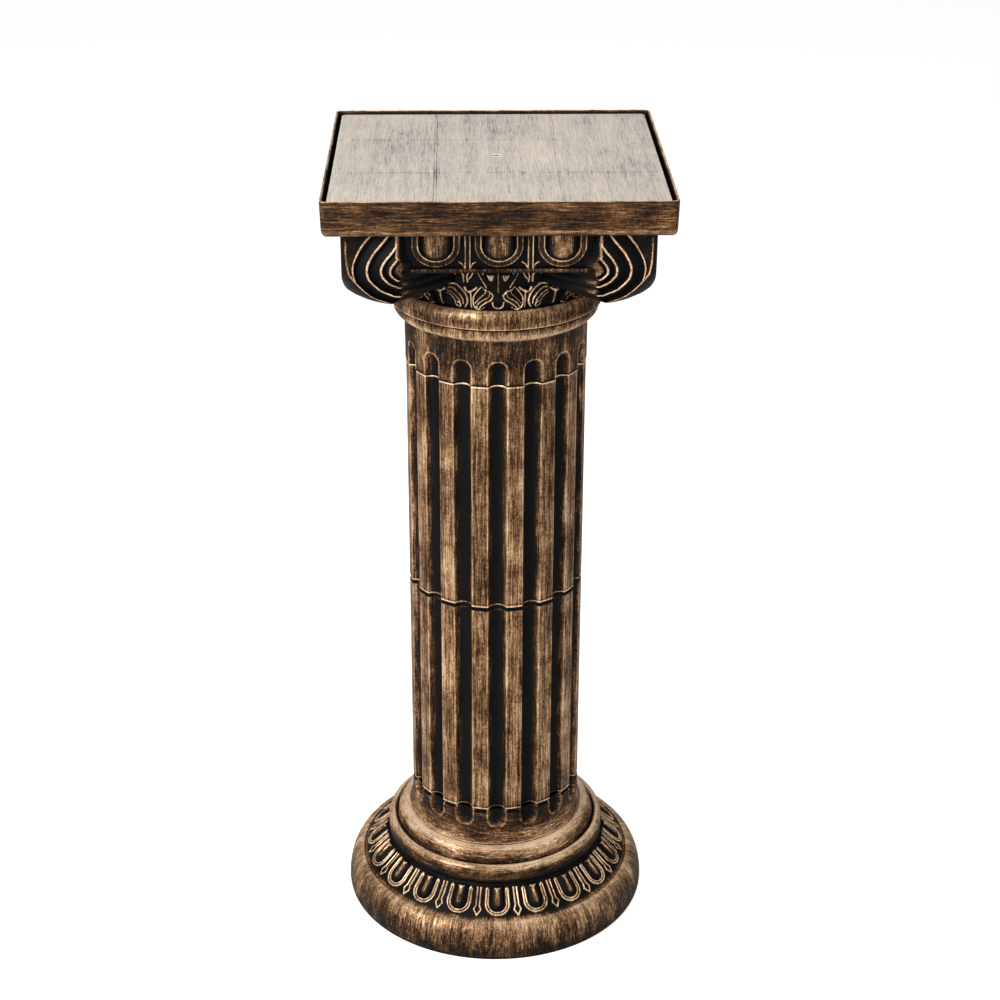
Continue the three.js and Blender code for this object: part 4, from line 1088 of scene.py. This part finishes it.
def tray_moulding():
    """The square tray. A row without a half width is the edge of the rod's hole."""
    draft, wall, floor, edge, corner = 1.0, 2.2, 3.0, 5.0, 6.0
    half_low = tray_half - draft
    rounding = [(edge - edge * math.cos(a), edge - edge * math.sin(a))
                for a in np.linspace(math.pi / 2, 0, 9)]
    floor_top = tray_bottom + floor
    rows = [(None, tray_bottom, 0.0), (half_low - 20, tray_bottom, 0.05)]
    rows += [(half_low - inset, tray_bottom + up, 0.3 + 0.04 * i)
             for i, (inset, up) in enumerate(rounding)]
    side = np.linspace(tray_bottom + edge + 1.5, stand_top - 1.2, 16)
    rows += [(half_low + draft * (z - tray_bottom) / (stand_top - tray_bottom), z,
              0.39 + 0.12 * (1 - smooth(z - tray_bottom, 8, 15)))
             for z in side]
    rows += [(tray_half - 0.15, stand_top - 0.5, 0.6), (tray_half - 0.5, stand_top - 0.1, 0.95),
             (tray_half - 1.0, stand_top, 0.98), (tray_half - wall + 0.6, stand_top - 0.05, 0.9),
             (tray_half - wall, stand_top - 0.6, 0.4), (tray_half - wall, stand_top - 4, 0.0),
             (half_low - wall, floor_top, 0.0), (None, floor_top, 0.0)]
    reference = square_path(tray_half, corner, 8, 60)
    angle = np.arctan2(reference[:, 1], reference[:, 0])
    circle = np.stack([np.cos(angle), np.sin(angle)], 1) * ROD_HOLE
    points, wears = [], []
    for half, z, wear in rows:
        if half is None:
            ring = circle
        else:
            radius = max(corner - (tray_half - half), 1.5)
            ring = square_path(half, radius, 8, 60)
        points.append(np.column_stack([ring, np.full(len(ring), z)]))
        wears.append(np.full(len(ring), wear))
    points = np.array(points)
    facing_x = np.abs(points[..., 1]) > np.abs(points[..., 0])
    along = np.where(facing_x, points[..., 0], points[..., 1])
    other = np.where(facing_x, points[..., 1], points[..., 0])
    grain = np.stack([points[..., 2], 0.3 * other, 0.07 * along], -1)
    shape = Shape()
    shape.add_grid(points, np.array(wears), grain)
    return shape


def panel_moulding():
    """The drop-in panel with its grid of ribs, their witness lines on its top and its gate mark."""
    thickness, corner, rib_place, rib_width = 2.8, 4.0, 56.0, 2.4
    line_gap, line_half, line_depth = 1.1, 0.55, 0.16
    rounding = 0.8
    marks = [s * rib_place + d for s in (-1, 1) for d in np.arange(-2.4, 2.41, 0.4)]
    fine = np.arange(-6, 6.01, 0.4)
    edge = panel_half - corner
    ends = [s * (panel_half - d) for s in (-1, 1) for d in (0, 0.3, 0.8, 1.5, 2.3, 3.1, 4.0)]
    coarse = np.arange(-edge + 4, edge - 3, 5.0)
    lines = np.unique(np.round(np.concatenate([marks, fine, ends, coarse]), 3))
    x, y = np.meshgrid(lines, lines, indexing="xy")

    def heights(x, y):
        """How far the top stands over its plane, and its wear."""
        z = np.zeros(np.shape(x))
        wear = np.full(np.shape(x), 0.6)
        for value in (x, y):
            for place in (-rib_place, rib_place):
                for side in (-1, 1):
                    form = ridge(value - place - side * line_gap, line_half)
                    z = z - line_depth * form
                    wear = wear - 0.35 * form
        nick = np.hypot(x / 5.0, y / 3.6)
        z = z - 0.5 * np.clip(1 - nick ** 2, 0, 1)
        ring = ridge(nick - 1.1, 0.22)
        z = z + 0.3 * ring
        core = np.hypot(x / 2.4, y / 1.5)
        z = z - 0.7 * np.clip(1 - core ** 2, 0, 1)
        wear = wear - 0.16 * (1 - smooth(nick, 0.8, 1.1)) + 0.22 * ring
        wear = np.where(core < 1, 0.02, wear)
        past_edge = np.maximum(np.abs(x), np.abs(y)) - (panel_half - rounding)
        z = z - 0.5 * np.clip(past_edge / rounding, 0, 1) ** 2
        wear = wear + 0.3 * smooth(past_edge, -1.5, 0)
        return z, wear

    z, wear = heights(x, y)
    dx, dy = np.abs(x) - edge, np.abs(y) - edge
    in_corner = (dx > 0) & (dy > 0)
    squeeze = np.where(in_corner, np.maximum(dx, dy) / np.maximum(np.hypot(dx, dy), 1e-9), 1)
    px = np.where(in_corner, np.sign(x) * (edge + dx * squeeze), x)
    py = np.where(in_corner, np.sign(y) * (edge + dy * squeeze), y)
    top = np.stack([px, py, panel_top + z], -1)
    bottom = np.stack([px, py, np.full(px.shape, panel_top - thickness)], -1)
    n = len(lines)
    points = np.concatenate([top.reshape(-1, 3), bottom.reshape(-1, 3)])
    faces = grid_quads(n, n, False, False)
    faces += [f[::-1] for f in grid_quads(n, n, False, False, n * n)]
    loop = ([j for j in range(n)] + [i * n + n - 1 for i in range(1, n)]
            + [(n - 1) * n + j for j in range(n - 2, -1, -1)] + [i * n for i in range(n - 2, 0, -1)])
    for a, b in zip(loop, loop[1:] + loop[:1]):
        faces.append([a, a + n * n, b + n * n, b])
    wears = np.concatenate([wear.ravel(), np.zeros(n * n)])
    grain = np.stack([points[:, 0], 0.05 * points[:, 1], points[:, 2]], 1)
    shape = Shape()
    shape.add(points, faces, wears, grain)
    rib_low, rib_high, rib_half = tray_bottom + 3.3, panel_top - thickness + 1, rib_width / 2
    for place in (-rib_place, rib_place):
        shape.add_box((place - rib_half, -edge, rib_low), (place + rib_half, edge, rib_high))
        shape.add_box((-edge, place - rib_half, rib_low), (edge, place + rib_half, rib_high))
    return shape


# ---- Pieces ----

base_moulding().make("base_moulding", "base", "moulding", bronze)
shaft_moulding(seam_base, seam_shaft, REBATE_HEIGHT, 0.3).make(
    "lower_shaft_moulding", "lower_shaft", "moulding", bronze)
shaft_moulding(seam_shaft, seam_capital, 1.5, 0.95).make(
    "upper_shaft_moulding", "upper_shaft", "moulding", bronze)
neck_moulding().make("capital_neck", "capital", "moulding", bronze)
block_moulding().make("capital_block", "capital", "moulding", bronze)
on_four_sides(volute()).make("capital_volutes", "capital", "moulding", bronze)
deck_moulding().make("capital_deck", "capital", "moulding", bronze)
tray_moulding().make("tray_moulding", "top_tray", "moulding", orange_bronze)
panel_moulding().make("panel_moulding", "top_panel", "panel", pale_bronze)

for node in ("tie_rod", "base_washer", "base_nut", "tray_washer", "tray_nut"):
    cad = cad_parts[node]
    cad.data.materials.clear()
    cad.data.materials.append(zinc)


# ---- Floor, light and camera. From here on lengths are in metres ----

FLOOR_HALF = 12.0
FLOOR_LIFT = 0.72  # the floor's own light, which only the camera sees
WORLD_LIGHT = 0.25


def floor_material():
    """Pale floor that the camera sees as white, with the object's shadow kept."""
    material = Material("studio_floor")
    to_camera = material.source("ShaderNodeLightPath", "Is Camera Ray")
    for socket, value in (("Base Color", (0.86, 0.86, 0.86, 1)), ("Roughness", 0.9),
                          ("Emission Color", (1, 1, 1, 1)),
                          ("Emission Strength", material.math("MULTIPLY", to_camera, FLOOR_LIFT))):
        material.feed(material.shader[socket], value)
    return material.data


def add_floor():
    """A plain square floor."""
    plan = [(x * FLOOR_HALF, y * FLOOR_HALF, 0) for x, y in ((-1, -1), (1, -1), (1, 1), (-1, 1))]
    mesh = bpy.data.meshes.new("floor")
    mesh.from_pydata(plan, [], [(0, 1, 2, 3)])
    mesh.materials.append(floor_material())
    floor = bpy.data.objects.new("floor", mesh)
    bpy.context.scene.collection.objects.link(floor)


def add_area(name, place, target, size, power):
    """A soft rectangular lamp at a place, turned towards a target."""
    lamp = bpy.data.lights.new(name, "AREA")
    lamp.shape = "RECTANGLE"
    lamp.size, lamp.size_y = size
    lamp.energy = power
    holder = bpy.data.objects.new(name, lamp)
    bpy.context.scene.collection.objects.link(holder)
    holder.location = place
    holder.rotation_euler = (Vector(target) - Vector(place)).to_track_quat("-Z", "Y").to_euler()


def add_world():
    """Even white light from all around."""
    world = bpy.data.worlds.new("studio")
    bpy.context.scene.world = world
    world.use_nodes = True
    background = world.node_tree.nodes["Background"]
    background.inputs["Color"].default_value = (1, 1, 1, 1)
    background.inputs["Strength"].default_value = WORLD_LIGHT


def add_camera():
    """The camera that the photograph's edges give, for a square picture."""
    place = Vector((-0.0379, -1.8715, 1.3212))
    azimuth, pitch, roll = (math.radians(v) for v in (1.16, 25.08, 0.106))
    look = Vector((math.sin(azimuth) * math.cos(pitch), math.cos(azimuth) * math.cos(pitch),
                   -math.sin(pitch)))
    data = bpy.data.cameras.new("camera")
    data.sensor_width = 36
    data.lens = 74.61
    data.shift_x = 0.00435
    camera = bpy.data.objects.new("camera", data)
    bpy.context.scene.collection.objects.link(camera)
    turn = look.to_track_quat("-Z", "Y").to_matrix().to_4x4() @ Matrix.Rotation(roll, 4, "Z")
    camera.matrix_world = Matrix.Translation(place) @ turn
    bpy.context.scene.camera = camera


add_floor()
add_area("key", (-1.7, -1.7, 1.9), (0, 0, 0.45), (1.3, 1.3), 76)
add_area("fill", (1.9, -1.4, 1.4), (0, 0, 0.45), (0.9, 1.6), 10)
add_area("top", (0.1, 0.5, 2.5), (0, 0, 0.8), (1.6, 1.6), 17)
add_world()
add_camera()
bpy.context.scene.view_settings.view_transform = "Standard"

bpy.context.view_layer.update()
